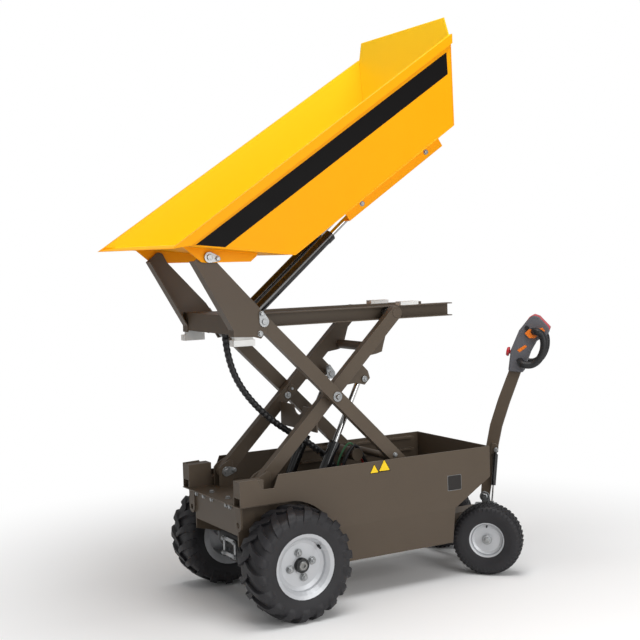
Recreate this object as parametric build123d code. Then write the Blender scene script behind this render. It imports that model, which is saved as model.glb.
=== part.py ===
from build123d import *
from math import atan2, cos, degrees, hypot, pi, radians, sin, tan
import os

# Walk-behind dumper: scissor lift, tipping skip, two driven front and two steered rear wheels.
# Millimetres while drawing: X forward, Y left, Z up, front axle at X = 0, ground at Z = 0.

SHEET = 4.0            # folded steel of tub and skip
PLATE = 6.0            # brackets and cheeks
PIN_R = 10.0           # every pivot pin
BORE_GAP = 0.3         # air round a pin in the piece that turns on it
HALF = 249.0           # outer half width over the tub's side plates

# Front wheels
FRONT_R, FRONT_W = 203.0, 165.0
FRONT_Y = HALF + 51.0
FRONT_RIM_R, FRONT_RIM_W = 117.0, 146.0
AXLE_R = 16.0
FRONT_Z = FRONT_R
WHEEL_FACETS = 36                    # flats round a tyre or rim, where a true round takes too many triangles
TREAD_COUNT, TREAD_HALF, TREAD_DEPTH = 18, 13.0, 13.0   # blocks round one side

# Rear wheels on knuckles, steered together by the tiller's column
REAR_R, REAR_W = 142.0, 95.0
REAR_RIM_R, REAR_RIM_W = 77.0, 78.0
STUB_R = 10.0
REAR_Z = REAR_R
KINGPIN = (-970.0, 180.0)   # (x, y) of the left kingpin
STUB_REACH = 70.0           # kingpin to wheel centre
STEER_X = -1060.0           # steering column
LEVER = 60.0                # kingpin to track rod pin, and column to its pin
STEER_REST = -45.4          # degrees the wheels and the tiller stand turned
BEAM_Z = (122.0, 162.0)
HEAD_Z = (162.0, 214.0)

# Tub
FOOT_HALF = HALF - 20.0  # half width at the bottom edge
FOLD_Z = 290.0
TUB_TOP, TUB_BOTTOM = 518.0, 150.0
TUB_REAR, TUB_FOOT_REAR, TUB_FOOT_FRONT, TUB_FRONT = -922.0, -748.0, -260.0, 188.0
REAR_CUT_Z = 396.0
DECK_Z, DECK_REAR, DECK_EDGE = 412.0, -60.0, 192.0
ARCH_R = 213.0
CHEEK_Y = HALF - 64.0
BOX_TOP, BOX_BOTTOM, BOX_FRONT, BOX_REAR, BOX_INNER = 505.0, 450.0, 187.0, 92.0, HALF - 54.0
LUG_X, LUG_Y, LUG_HOLE_Z, LUG_HOLE_R, LUG_HALF = 174.0, HALF - 49.0, 343.0, 11.0, 23.0
BATTERY_LEN, BATTERY_TOP, BATTERY_GAP, BATTERY_SIDE = 265.0, 400.0, 13.0, 39.0
PACK_X, PACK_TOP = TUB_FOOT_FRONT - 125.0, 300.0

# Scissor
LOW = (58.0, 475.5)    # front lower pivot (x, z)
ARM_LEN, ARM_ANGLE = 843.0, 44.47
RUN, RISE = ARM_LEN * cos(radians(ARM_ANGLE)), ARM_LEN * sin(radians(ARM_ANGLE))
HIGH = (LOW[0], LOW[1] + RISE)
REAR_LOW, REAR_HIGH = (LOW[0] - RUN, LOW[1]), (LOW[0] - RUN, HIGH[1])
MIDDLE = (LOW[0] - RUN / 2, LOW[1] + RISE / 2)
ARM_H, ARM_T = 50.0, 30.0
OUTER_Y = HALF - 64.0    # inner faces of the outer and the inner arms
INNER_Y = OUTER_Y - 44.5
ROLLER_R = 20.0
BASE_RAIL_H = 2 * ROLLER_R + 2.0    # opening of the lower roller rails
BASE_RAIL_REAR, BASE_RAIL_FRONT = -882.0, -330.0

# Top frame
RAIL_Y, RAIL_W, RAIL_T = INNER_Y - 50.5, 35.5, 4.0
RAIL_LOW, RAIL_HIGH, RAIL_REAR = HIGH[1] - 26, HIGH[1] + 26, -844.0
BEAM_REAR, BEAM_FRONT = 95.0, 178.0
BRACKET_Y = OUTER_Y + ARM_T + 2.0
PAD_DROP, PAD_H = 56.0, 22.0   # from the rails down to the pads' feet

# Skip, drawn level with its hinge at the origin, then tipped
HINGE = (270.0, HIGH[1] + 234.9)
TIP_REST = 33.65
LIP, CHUTE_BEND = (141.0, 131.0), (77.0, 101.0)
FLOOR_FRONT, FLOOR_REAR, RIM_REAR = (-243.0, -161.0), (-1100.0, -161.0), (-1271.0, 131.0)
RIM_HALF_REAR, RIM_HALF_FRONT, RIM_FOLD, RIM_DROP, SIDE_LEAN = 336.0, 363.0, 14.0, 30.0, 18.0
BOARD_TOP, BOARD_HALF = 190.0, 292.0
RUNNER_Y, RUNNER_H = 262.0, 50.0

# Cylinders (x, z of pins)
LIFT_BASE, LIFT_EYE, LIFT_Y, LIFT_BARREL = (-95.0, 200.0), (-403.0, 820.0), INNER_Y - 25.5, 430.0
TIP_BASE, TIP_EYE = (90.0, HIGH[1] - 49.1), (-524.0, HIGH[1] + 467.9)
TIP_Y, TIP_BARREL = RAIL_Y / 2, 553.0
BARREL_R, ROD_R, EYE_R, EYE_HALF = 20.0, 11.0, 17.0, 12.0
OPEN_GAP = 1.5         # between a rod's own pin and the plate it points at, as the rod's eye is open

# Tiller, in the plane (r behind the steering axis, z)
TILLER_LINE = [(25.0, 262.0), (43.0, 400.0), (76.0, 559.0), (111.0, 665.0), (163.0, 800.0)]
TILLER_HALF = [18.0, 24.0, 25.0, 25.0, 24.0]
TILLER_T = 30.0
SPRING_FOOT, SPRING_HEAD, SPRING_Y, SPRING_STROKE = (56.0, 238.0), (77.0, 462.0), 29.0, 45.0

os.makedirs("parts", exist_ok=True)


def slab(outline, y0, y1):
    """Outline of (x, z) points between two y."""
    face = make_face(Plane.XZ.offset(-y0) * Polyline(*outline, close=True))
    return extrude(face, amount=y1 - y0, dir=(0, 1, 0))


def strip(outline, x0, x1):
    """Outline of (y, z) points between two x."""
    face = make_face(Plane.YZ.offset(x0) * Polyline(*outline, close=True))
    return extrude(face, amount=x1 - x0, dir=(1, 0, 0))


def block(x, y, z):
    """Box from its three (low, high) pairs."""
    middle = Pos((x[0] + x[1]) / 2, (y[0] + y[1]) / 2, (z[0] + z[1]) / 2)
    return middle * Box(x[1] - x[0], y[1] - y[0], z[1] - z[0])


def across(centre, y0, y1, radius):
    """Cylinder along Y through an (x, z) point."""
    return Pos(centre[0], (y0 + y1) / 2, centre[1]) * Rot(90, 0, 0) * Cylinder(radius, y1 - y0)


def ribbon(points, half):
    """Closed outline of a band of half width either side of a run of points."""
    left, right = [], []
    for i, (x, z) in enumerate(points):
        a, b = points[max(i - 1, 0)], points[min(i + 1, len(points) - 1)]
        length = hypot(b[0] - a[0], b[1] - a[1])
        nx, nz = -(b[1] - a[1]) / length, (b[0] - a[0]) / length
        h = half[i]
        left.append((x + nx * h, z + nz * h))
        right.append((x - nx * h, z - nz * h))
    return left + right[::-1]


def link(a, b, y0, y1, width):
    """Flat bar with round ends between two (x, z) points."""
    angle = degrees(atan2(b[1] - a[1], b[0] - a[0]))
    face = Rot(0, 0, angle) * SlotCenterToCenter(hypot(b[0] - a[0], b[1] - a[1]), width)
    plane = Plane(origin=((a[0] + b[0]) / 2, y1, (a[1] + b[1]) / 2), x_dir=(1, 0, 0), z_dir=(0, -1, 0))
    return extrude(plane * face, amount=y1 - y0)


def rod(a, b, y, radius, start=0.0, end=None):
    """Round bar in the plane y, from start to end along the line a to b."""
    length = hypot(b[0] - a[0], b[1] - a[1])
    end = length if end is None else end
    ux, uz = (b[0] - a[0]) / length, (b[1] - a[1]) / length
    base = Plane(origin=(a[0] + ux * start, y, a[1] + uz * start), z_dir=(ux, 0, uz))
    return extrude(base * Circle(radius), amount=end - start)


def along(a, b, distance, side=0.0):
    """Point on the line a to b, moved sideways to its left."""
    length = hypot(b[0] - a[0], b[1] - a[1])
    ux, uz = (b[0] - a[0]) / length, (b[1] - a[1]) / length
    return (a[0] + ux * distance - uz * side, a[1] + uz * distance + ux * side)


def above(points, height):
    """(x, z) points whose z are given from a height."""
    return [(x, height + z) for x, z in points]


def mirrored(shape):
    """The same on the other side of the machine."""
    return mirror(shape, about=Plane.XZ)


def pair(shape):
    """Left piece and its mirror image."""
    return shape + mirrored(shape)


parts = {}

# ---------------------------------------------------------------- tub
arch_low = (ARCH_R * cos(radians(146)), FRONT_Z + ARCH_R * sin(radians(146)))
arch_mid = (ARCH_R * cos(radians(121)), FRONT_Z + ARCH_R * sin(radians(121)))
arch_top = (ARCH_R * cos(radians(95)), FRONT_Z + ARCH_R * sin(radians(95)))
side_outline = (
    Polyline((TUB_FOOT_FRONT, TUB_BOTTOM), (TUB_FOOT_REAR, TUB_BOTTOM), (TUB_FOOT_REAR, FOLD_Z),
             (TUB_REAR, REAR_CUT_Z), (TUB_REAR, TUB_TOP), (LOW[0] - 26, TUB_TOP),
             (LOW[0] - 6, LOW[1] - 5.5), (LOW[0] + 43, LOW[1] - 3.5), (LOW[0] + 62, TUB_TOP - 8),
             (TUB_FRONT, TUB_TOP - 10), (TUB_FRONT, DECK_Z + SHEET), arch_top)
    + ThreePointArc(arch_top, arch_mid, arch_low)
    + Line(arch_low, (TUB_FOOT_FRONT, TUB_BOTTOM))
)
side_prism = extrude(make_face(Plane.XZ.offset(300) * side_outline), amount=600, dir=(0, 1, 0))
fold_outer = [(FOOT_HALF, TUB_BOTTOM), (HALF, FOLD_Z), (HALF, TUB_TOP + 20),
              (HALF - SHEET, TUB_TOP + 20), (HALF - SHEET, FOLD_Z), (FOOT_HALF - SHEET, TUB_BOTTOM)]
side_left = strip(fold_outer, TUB_REAR - 10, TUB_FRONT + 10) & side_prism
for edge in (-1, 1):
    ledge_z = LOW[1] + edge * (BASE_RAIL_H / 2 + 4)
    side_left = side_left + block((BASE_RAIL_REAR, BASE_RAIL_FRONT), (OUTER_Y + ARM_T + 7, HALF - SHEET),
                                  (ledge_z - 4, ledge_z + 4))
parts["tub_side_left"] = side_left
parts["tub_side_right"] = mirrored(side_left)

inside = strip([(-HALF + SHEET, 700), (-HALF + SHEET, FOLD_Z), (-FOOT_HALF + SHEET, TUB_BOTTOM),
                (FOOT_HALF - SHEET, TUB_BOTTOM), (HALF - SHEET, FOLD_Z), (HALF - SHEET, 700)],
               TUB_REAR - 10, TUB_FRONT + 10)
floor_line = [(TUB_FOOT_FRONT, TUB_BOTTOM), (TUB_FOOT_REAR, TUB_BOTTOM), (TUB_FOOT_REAR, FOLD_Z),
              (TUB_REAR, REAR_CUT_Z), (TUB_REAR, TUB_TOP)]
floor_inner = [(TUB_REAR + SHEET, TUB_TOP), (TUB_REAR + SHEET, REAR_CUT_Z + 2.4),
               (TUB_FOOT_REAR + SHEET, FOLD_Z + 2.4), (TUB_FOOT_REAR + SHEET, TUB_BOTTOM + SHEET),
               (TUB_FOOT_FRONT, TUB_BOTTOM + SHEET)]
parts["tub_floor"] = slab(floor_line + floor_inner, -HALF, HALF) & inside

parts["front_deck"] = (
    block((DECK_REAR, DECK_EDGE), (-HALF + SHEET, HALF - SHEET), (DECK_Z, DECK_Z + SHEET))
    + block((LUG_X - 10, LUG_X - 6), (-CHEEK_Y + PLATE, CHEEK_Y - PLATE),
            (LUG_HOLE_Z - LUG_HALF - 20, DECK_Z))
)
lug = strip([(LUG_Y - LUG_HALF, LUG_HOLE_Z), (LUG_Y - LUG_HALF, DECK_Z), (LUG_Y + LUG_HALF, DECK_Z),
             (LUG_Y + LUG_HALF, LUG_HOLE_Z)], LUG_X - 6, LUG_X + 2)
lug = lug + Pos(LUG_X - 2, LUG_Y, LUG_HOLE_Z) * Rot(0, 90, 0) * Cylinder(LUG_HALF, 8)
lug = lug - Pos(LUG_X - 2, LUG_Y, LUG_HOLE_Z) * Rot(0, 90, 0) * Cylinder(LUG_HOLE_R, 60)
parts["front_deck"] = parts["front_deck"] + pair(lug)

cheek_outline = [(TUB_FOOT_FRONT, TUB_BOTTOM), (LUG_X - 6, 262), (LUG_X - 6, DECK_Z), (DECK_REAR, DECK_Z),
                 (TUB_FOOT_FRONT, 330)]
cheek = slab(cheek_outline, CHEEK_Y - PLATE, CHEEK_Y)
cheek_bores = across((0, FRONT_Z), 0, 300, AXLE_R + 14)
base_rod = across(LIFT_BASE, -CHEEK_Y + PLATE, CHEEK_Y - PLATE, PIN_R)
arch_mid_r = ARCH_R + SHEET / 2
arch_line = [(arch_mid_r * cos(radians(turn)), FRONT_Z + arch_mid_r * sin(radians(turn)))
             for turn in (95, 108, 121, 134, 146)] + [(TUB_FOOT_FRONT - SHEET / 2, TUB_BOTTOM)]
arch = slab(ribbon(arch_line, [SHEET / 2] * len(arch_line)), CHEEK_Y, HALF) & inside
arch = (arch & block((TUB_REAR, 0), (CHEEK_Y, HALF), (TUB_BOTTOM, DECK_Z))) - parts["tub_floor"]
parts["frame_cheeks"] = pair(cheek - cheek_bores - parts["tub_floor"] + arch) + base_rod

channel = strip([(BOX_INNER, DECK_Z + SHEET), (BOX_INNER, BOX_BOTTOM), (HALF - SHEET, BOX_BOTTOM),
                 (HALF - SHEET, BOX_BOTTOM - SHEET), (BOX_INNER + SHEET, BOX_BOTTOM - SHEET),
                 (BOX_INNER + SHEET, DECK_Z + SHEET)], LOW[0] - 18, TUB_FRONT)
channel = channel & side_prism
box = (block((BOX_REAR, BOX_FRONT), (BOX_INNER, HALF - SHEET), (BOX_BOTTOM, BOX_TOP))
       - block((BOX_REAR + SHEET, BOX_FRONT - SHEET), (BOX_INNER + SHEET, HALF - 2 * SHEET),
               (BOX_BOTTOM - 10, BOX_TOP - SHEET)))
ear = [(LOW[0] - 28, DECK_Z + SHEET), (LOW[0] + 30, DECK_Z + SHEET), (LOW[0] + 30, LOW[1] + 14.5),
       (LOW[0] + 16, LOW[1] + 28.5), (LOW[0] - 16, LOW[1] + 44.5), (LOW[0] - 28, LOW[1] + 39.5)]
ear_low, ear_high = INNER_Y - 5.5, INNER_Y + ARM_T + 5.5
ears = (slab(ear, ear_low - PLATE, ear_low) + slab(ear, ear_high, ear_high + PLATE)
        + across(LOW, ear_low - PLATE, ear_high + PLATE, PIN_R))
parts["front_channels"] = pair(channel + box) + pair(ears)

# ---------------------------------------------------------------- drive axle, packs
axle = (across((0, FRONT_Z), -FRONT_Y - 40, FRONT_Y + 40, AXLE_R)
        + across((0, FRONT_Z), -CHEEK_Y, CHEEK_Y, AXLE_R + 14))
gearbox = Pos(20, 0, FRONT_Z) * Box(120, 150, 110)
motor = Pos(84, 30, FRONT_Z + 45) * Rot(90, 0, 0) * Cylinder(48, 170)
parts["drive_axle"] = axle + gearbox + motor
battery_rear = TUB_FOOT_REAR + BATTERY_GAP
parts["battery_pack"] = block((battery_rear, battery_rear + BATTERY_LEN),
                              (BATTERY_SIDE - FOOT_HALF, FOOT_HALF - BATTERY_SIDE),
                              (TUB_BOTTOM + SHEET, BATTERY_TOP))
drum_half = LIFT_Y - BARREL_R - 10
parts["hydraulic_pack"] = (block((PACK_X - 55, PACK_X + 55), (-drum_half, 30), (TUB_BOTTOM + SHEET, PACK_TOP))
                           + Pos(PACK_X - 20, 30 - drum_half, PACK_TOP + 105) * Cylinder(28, 210)
                           + across((PACK_X - 20, LOW[1] + 42.5), -drum_half, drum_half, 24))

# ---------------------------------------------------------------- front wheels


def faceted(profile, sides):
    """Ring of flat facets round Y, each flat at the radius of its closed run of (radius, y) points."""
    turns = [2 * pi * (step + 0.5) / sides for step in range(sides)]
    corner = 1 / cos(pi / sides)
    rings = [[(r * corner * cos(turn), y, r * corner * sin(turn)) for r, y in profile] for turn in turns]
    faces = []
    for ring, beside in zip(rings, rings[1:] + rings[:1]):
        for corners in zip(ring, ring[1:] + ring[:1], beside[1:] + beside[:1], beside):
            faces.append(Face(Wire.make_polygon(corners, close=True)))
    solid = Solid(Shell(faces))
    return solid if solid.volume > 0 else Solid(-solid.shell())


def tyre(crown, width, rim_radius, rim_width):
    """Closed tyre section round Y at the origin, its bead seat on the rim."""
    bead = rim_radius - 8
    w, r = width / 2, rim_width / 2
    half = [(bead, r - 8), (rim_radius + 14, w * 0.93), (crown * 0.85, w * 0.97), (crown * 0.96, w * 0.84),
            (crown, w * 0.5)]
    return faceted(half + [(x, -y) for x, y in half[::-1]], WHEEL_FACETS)


def tread(radius, width):
    """Blocks from the middle over the shoulder down the sidewall, staggered on the two sides."""
    w, base, top = width / 2, radius - TREAD_DEPTH - 6, radius
    face = [(-w * 0.12, base), (-w * 0.12, top), (w * 0.62, top), (w, radius * 0.89), (w, radius * 0.76),
            (w * 0.88, radius * 0.76)]
    block_face = make_face(Polyline(*[(-TREAD_HALF, y, z) for y, z in face], close=True))
    one = extrude(block_face, amount=2 * TREAD_HALF, dir=(1, 0, 0))
    pitch = 360 / TREAD_COUNT
    return ([Rot(0, step * pitch, 0) * one for step in range(TREAD_COUNT)]
            + [Rot(0, (step + 0.5) * pitch, 0) * one.mirror(Plane.XZ) for step in range(TREAD_COUNT)])


def rim(radius, width, hub_radius, bore, disc):
    """Stepped rim with an inset disc and a bored hub, round Y at the origin."""
    w, bead, wall = width / 2, radius - 8, 5
    profile = [(bore - 6, disc - 34), (hub_radius, disc - 34), (hub_radius, disc - wall),
               (radius * 0.66, disc - wall), (radius * 0.76, -w + 14), (bead - wall, -w + 6), (radius, -w),
               (bead, -w + 8), (bead, w - 8), (radius, w), (bead - wall, w - 6), (radius * 0.80, w - 20),
               (radius * 0.78, disc + 6), (radius * 0.66, disc), (hub_radius, disc),
               (hub_radius - 4, disc + 16), (bore - 6, disc + 16)]
    return faceted(profile, WHEEL_FACETS) - across((0, 0), -w, w, bore)


def tyre_clear(shape, rim_shape):
    """Tyre cut back where the rim seats in it."""
    return shape - rim_shape


front_rim = rim(FRONT_RIM_R, FRONT_RIM_W, 26, AXLE_R + BORE_GAP, 36)
carcass = tyre(FRONT_R - TREAD_DEPTH, FRONT_W, FRONT_RIM_R, FRONT_RIM_W)
front_tyre = tyre_clear(carcass + tread(FRONT_R, FRONT_W), front_rim)
for name, y, spin in (("left", FRONT_Y, 0), ("right", -FRONT_Y, 180)):
    place = Pos(0, y, FRONT_Z) * Rot(0, 0, spin)
    parts["front_tyre_" + name] = place * front_tyre
    parts["front_rim_" + name] = place * front_rim

# ---------------------------------------------------------------- steering and rear wheels
arm = slab([(TUB_FOOT_REAR, HEAD_Z[0]), (TUB_FOOT_REAR, 286), (TUB_FOOT_REAR - 120, HEAD_Z[1]),
            (STEER_X, HEAD_Z[1]), (STEER_X, HEAD_Z[0])], -46, 46)
arm = arm - slab([(TUB_FOOT_REAR + 1, HEAD_Z[0] + 5), (TUB_FOOT_REAR + 1, 280),
                  (TUB_FOOT_REAR - 118, HEAD_Z[1] - 5), (STEER_X + 40, HEAD_Z[1] - 5),
                  (STEER_X + 40, HEAD_Z[0] + 5)], -41, 41)
beam = block((KINGPIN[0] - 20, KINGPIN[0] + 20), (-KINGPIN[1] + 10, KINGPIN[1] - 10), BEAM_Z)
boss = Pos(*KINGPIN, sum(BEAM_Z) / 2) * Cylinder(13, 54)
kingpin_bore = Pos(*KINGPIN, sum(BEAM_Z) / 2) * Cylinder(8 + BORE_GAP, 60)
column_tube = Pos(STEER_X, 0, sum(HEAD_Z) / 2) * Cylinder(30, HEAD_Z[1] - HEAD_Z[0])
column_bore = Pos(STEER_X, 0, sum(HEAD_Z) / 2) * Cylinder(14 + BORE_GAP, 80)
parts["rear_axle"] = ((arm + beam + pair(boss) + column_tube)
                      - column_bore - kingpin_bore - mirrored(kingpin_bore))

steer = Pos(STEER_X, 0, 0) * Rot(0, 0, STEER_REST)
foot_r, foot_z = TILLER_LINE[0]
column = (Pos(0, 0, (140 + HEAD_Z[1] + 6) / 2) * Cylinder(14, HEAD_Z[1] + 6 - 140)
          + Pos(-LEVER, 0, 139) * Cylinder(6, 14) + block((-LEVER - 12, 14), (-12, 12), (142, 148)))
yoke = block((-foot_r - 46, 20), (-26, 26), (HEAD_Z[1] + 5, HEAD_Z[1] + 12))
yoke = yoke + pair(slab([(-foot_r - 18, HEAD_Z[1] + 12), (-foot_r - 14, foot_z + 14),
                         (-foot_r + 14, foot_z + 14), (12 - foot_r, HEAD_Z[1] + 12)], 18, 24))
yoke = yoke + across((-foot_r, foot_z), -24, 24, PIN_R)
spring_ear = block((-SPRING_FOOT[0] - 8, -SPRING_FOOT[0] + 8), (36, 41), (HEAD_Z[1] + 5, SPRING_FOOT[1] + 8))
spring_foot = block((-SPRING_FOOT[0] - 8, -SPRING_FOOT[0] + 8), (20, 41), (HEAD_Z[1] + 5, HEAD_Z[1] + 12))
parts["steering_column"] = steer * (column + yoke + spring_ear + spring_foot)

knuckle = (block((-16, 16), (-16, 24), (104, 110)) + block((-16, 16), (-16, 24), (174, 180))
           + block((-16, 16), (18, 24), (104, 180)) + Pos(0, 0, 142) * Cylinder(8, 76)
           + block((-LEVER - 11, -10), (-11, 11), (104, 110)) + Pos(-LEVER, 0, 126) * Cylinder(6, 36)
           + across((0, REAR_Z), 20, STUB_REACH + 30, STUB_R))
rear_rim = rim(REAR_RIM_R, REAR_RIM_W, 19, STUB_R + BORE_GAP, 16)
rear_tyre = tyre_clear(tyre(REAR_R, REAR_W, REAR_RIM_R, REAR_RIM_W), rear_rim)
for name, side in (("left", 1), ("right", -1)):
    turn = Pos(KINGPIN[0], side * KINGPIN[1], 0) * Rot(0, 0, STEER_REST)
    parts["rear_knuckle_" + name] = turn * (knuckle if side > 0 else mirrored(knuckle))
    place = turn * Pos(0, side * STUB_REACH, REAR_Z) * Rot(0, 0, 90 - 90 * side)
    parts["rear_tyre_" + name] = place * rear_tyre
    parts["rear_rim_" + name] = place * rear_rim

turn_a = radians(STEER_REST)
pin_shift = (-LEVER * cos(turn_a), -LEVER * sin(turn_a))
rod_x, rod_y = KINGPIN[0] + pin_shift[0], pin_shift[1]
track = block((rod_x - 6, rod_x + 6), (rod_y - KINGPIN[1], rod_y + KINGPIN[1]), (129, 139))
track = track + block((STEER_X + pin_shift[0], rod_x), (rod_y - 10, rod_y + 10), (131, 137))
track_pins = [(rod_x, rod_y - KINGPIN[1]), (rod_x, rod_y + KINGPIN[1]), (STEER_X + pin_shift[0], rod_y)]
for x, y in track_pins:
    track = track + Pos(x, y, 134) * Cylinder(12, 12)
for x, y in track_pins:
    track = track - Pos(x, y, 134) * Cylinder(6 + BORE_GAP, 30)
parts["track_rod"] = track

# ---------------------------------------------------------------- tiller (drawn in the steered frame, r = -x)


def behind(points):
    """(r, z) points as (x, z) of the steered frame."""
    return [(-r, z) for r, z in points]


line = behind(TILLER_LINE)
tube = slab(ribbon(line, TILLER_HALF), -TILLER_T / 2, TILLER_T / 2)
tube = tube + across(line[0], -TILLER_T / 2, TILLER_T / 2, 18) - across(line[0], -20, 20, PIN_R + BORE_GAP)
spring_lug = slab(behind([(48, 440), (84, 450), (86, 472), (74, 486), (60, 486)]), TILLER_T / 2, SPRING_Y - 6)
parts["tiller_tube"] = steer * (tube + spring_lug)
head_outline = behind([(133, 792), (145, 880), (181, 962), (225, 1016), (243, 1026), (265, 1018), (307, 972),
                       (299, 945), (251, 915), (225, 870), (195, 786)])
head_solid = slab(head_outline, -34, 34)
parts["tiller_head"] = steer * (head_solid - tube)
loop_line = behind([(177, 812), (217, 806), (261, 826), (293, 876), (299, 930), (283, 968)])
loop_band = slab(ribbon(loop_line, [9] * 6), 60, 78)
loop_feet = (block((-197, -171), (34, 78), (806, 826)) + block((-291, -265), (34, 78), (952, 976)))
parts["tiller_loops"] = steer * pair(loop_band + loop_feet)
dial = across((-238, 949), 34, 50, 17)
button = Pos(-139, 0, 868) * Rot(0, 78, 0) * Cylinder(17, 26)
parts["tiller_controls"] = steer * ((pair(dial) + button) - head_solid)

foot, crown = behind([SPRING_FOOT, SPRING_HEAD])
spring_len = hypot(crown[0] - foot[0], crown[1] - foot[1])
parts["gas_spring_rod"] = steer * (rod(foot, crown, SPRING_Y, 4, 6, spring_len * 0.5)
                                   + across(foot, SPRING_Y - 5, SPRING_Y + 7, 7))
parts["gas_spring_barrel"] = steer * ((rod(foot, crown, SPRING_Y, 10, spring_len * 0.33, spring_len - 20)
                                      + rod(foot, crown, SPRING_Y, 5, spring_len - 20, spring_len)
                                      + across(crown, SPRING_Y - 5.7, SPRING_Y + 6, 7))
                                     - rod(foot, crown, SPRING_Y, 4 + BORE_GAP, 0,
                                           spring_len * 0.5 + SPRING_STROKE))

# ---------------------------------------------------------------- scissor
inner = link(LOW, REAR_HIGH, INNER_Y, INNER_Y + ARM_T, ARM_H)
inner = inner - across(LOW, INNER_Y, INNER_Y + ARM_T, PIN_R + BORE_GAP)
upper_tube = along(LOW, REAR_HIGH, ARM_LEN - 143, 44)
gusset = slab([along(LOW, REAR_HIGH, ARM_LEN - d, s) for d, s in
               ((203, 25), (167, 52), (143, 66), (119, 52), (67, 25))], INNER_Y, INNER_Y + 8)
eye_run = ((LOW[0] - LIFT_EYE[0]) * RUN + (LIFT_EYE[1] - LOW[1]) * RISE) / ARM_LEN
eye_plate = slab([along(LOW, REAR_HIGH, eye_run + d, s) for d, s in
                  ((-80, 25), (-34, 62), (-14, 96), (20, 96), (34, 70), (34, 25))], INNER_Y, INNER_Y + 7)
centre_pin = (across(MIDDLE, INNER_Y - 6, OUTER_Y + ARM_T + 6, PIN_R)
              + across(MIDDLE, INNER_Y - 6, INNER_Y, 17))
eye_stub = across(LIFT_EYE, INNER_Y + 7, INNER_Y + 11, PIN_R)
bridge_x = LOW[0] - 253
bridge_top = LOW[1] + 253 * RISE / RUN - 2
bridge = (block((bridge_x - 3, bridge_x + 3), (-INNER_Y, INNER_Y), (bridge_top - 90, bridge_top))
          - Pos(bridge_x, 0, bridge_top + 2) * Rot(0, 90, 0) * Cylinder(38, 20))
parts["inner_arms"] = (pair(inner + gusset + eye_plate + centre_pin + eye_stub)
                       + across(upper_tube, -INNER_Y, INNER_Y, 18) + bridge)
roller_pin = across(REAR_HIGH, RAIL_Y + RAIL_T + 4, INNER_Y, 8)
roller = across(REAR_HIGH, RAIL_Y + RAIL_T + 4, RAIL_Y + RAIL_W - 4, ROLLER_R)
parts["inner_rollers"] = pair(roller + roller_pin)

outer = link(HIGH, REAR_LOW, OUTER_Y, OUTER_Y + ARM_T, ARM_H)
outer = outer - across(HIGH, OUTER_Y, OUTER_Y + ARM_T, PIN_R + BORE_GAP)
outer = outer - across(MIDDLE, OUTER_Y, OUTER_Y + ARM_T, PIN_R + BORE_GAP)
parts["outer_arms"] = pair(outer) + across(along(HIGH, REAR_LOW, ARM_LEN - 43), -OUTER_Y, OUTER_Y, 14)
foot_roller = across(REAR_LOW, OUTER_Y + ARM_T + 8, HALF - SHEET - 4, ROLLER_R)
parts["outer_rollers"] = pair(foot_roller + across(REAR_LOW, OUTER_Y + ARM_T, OUTER_Y + ARM_T + 8, 8))

# ---------------------------------------------------------------- top frame
rail = strip([(RAIL_Y, RAIL_LOW), (RAIL_Y + RAIL_W, RAIL_LOW), (RAIL_Y + RAIL_W, RAIL_LOW + RAIL_T),
              (RAIL_Y + RAIL_T, RAIL_LOW + RAIL_T), (RAIL_Y + RAIL_T, RAIL_HIGH - RAIL_T),
              (RAIL_Y + RAIL_W, RAIL_HIGH - RAIL_T), (RAIL_Y + RAIL_W, RAIL_HIGH), (RAIL_Y, RAIL_HIGH)],
             RAIL_REAR, BEAM_REAR)
spacer = block((RAIL_REAR + 20, RAIL_REAR + 60), (-RAIL_Y, RAIL_Y), (RAIL_LOW, RAIL_LOW + 6))
parts["top_rails"] = pair(rail) + spacer

bracket_outline = above([(322, 221.9), (179, -24.1), (179, -48.1), (99, -52.1), (71, -60.1), (50, -37.1),
                         (42, 0), (80, 56.9), (237, 218.9), (252, 246.9), (288, 246.9)], HIGH[1])
bracket = slab(bracket_outline, BRACKET_Y, BRACKET_Y + 5) + across(HINGE, BRACKET_Y, BRACKET_Y + 5, 22)
fold_outline = above([(322, 221.9), (179, -24.1), (179, -48.1), (175, -48.1), (175, -23.1), (318, 222.9)],
                     HIGH[1])
fold = slab(fold_outline, BRACKET_Y - 38, BRACKET_Y)
ear_in = slab([(36, RAIL_LOW), (BEAM_REAR, RAIL_LOW), (BEAM_REAR, RAIL_HIGH), (44, RAIL_HIGH)],
              OUTER_Y - 11, OUTER_Y - 5)
top_pin = across(HIGH, OUTER_Y - 11, BRACKET_Y + 5, PIN_R)
hinge_pin = across(HINGE, BRACKET_Y + 5, BRACKET_Y + 18, PIN_R)
cross = (block((BEAM_REAR, BEAM_FRONT - 3), (-BRACKET_Y, BRACKET_Y), (RAIL_LOW - 16, RAIL_HIGH))
         - block((BEAM_REAR + 4, BEAM_FRONT - 7), (-BRACKET_Y, BRACKET_Y), (RAIL_LOW - 30, RAIL_HIGH - 4)))
barrel_ear = slab([(TIP_BASE[0] - 20, TIP_BASE[1] + 20), (TIP_BASE[0] - 20, TIP_BASE[1] - 16),
                   (TIP_BASE[0] + 12, TIP_BASE[1] - 20), (TIP_BASE[0] + 30, TIP_BASE[1] + 10),
                   (TIP_BASE[0] + 30, TIP_BASE[1] + 60), (TIP_BASE[0] + 5, TIP_BASE[1] + 60)], 4, 10)
base_pin = across(TIP_BASE, 4, TIP_Y + BARREL_R + 12, PIN_R)
outer_ear = Pos(0, TIP_Y + BARREL_R + 2, 0) * barrel_ear
cross = cross - block((TIP_BASE[0] - 40, TIP_BASE[0] + 60), (-RAIL_Y + 2, RAIL_Y - 2),
                      (RAIL_LOW - 30, RAIL_HIGH - 30))
parts["top_brackets"] = (pair(bracket + fold + ear_in + top_pin + hinge_pin) + cross
                         + pair(barrel_ear + outer_ear + base_pin))
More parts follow.
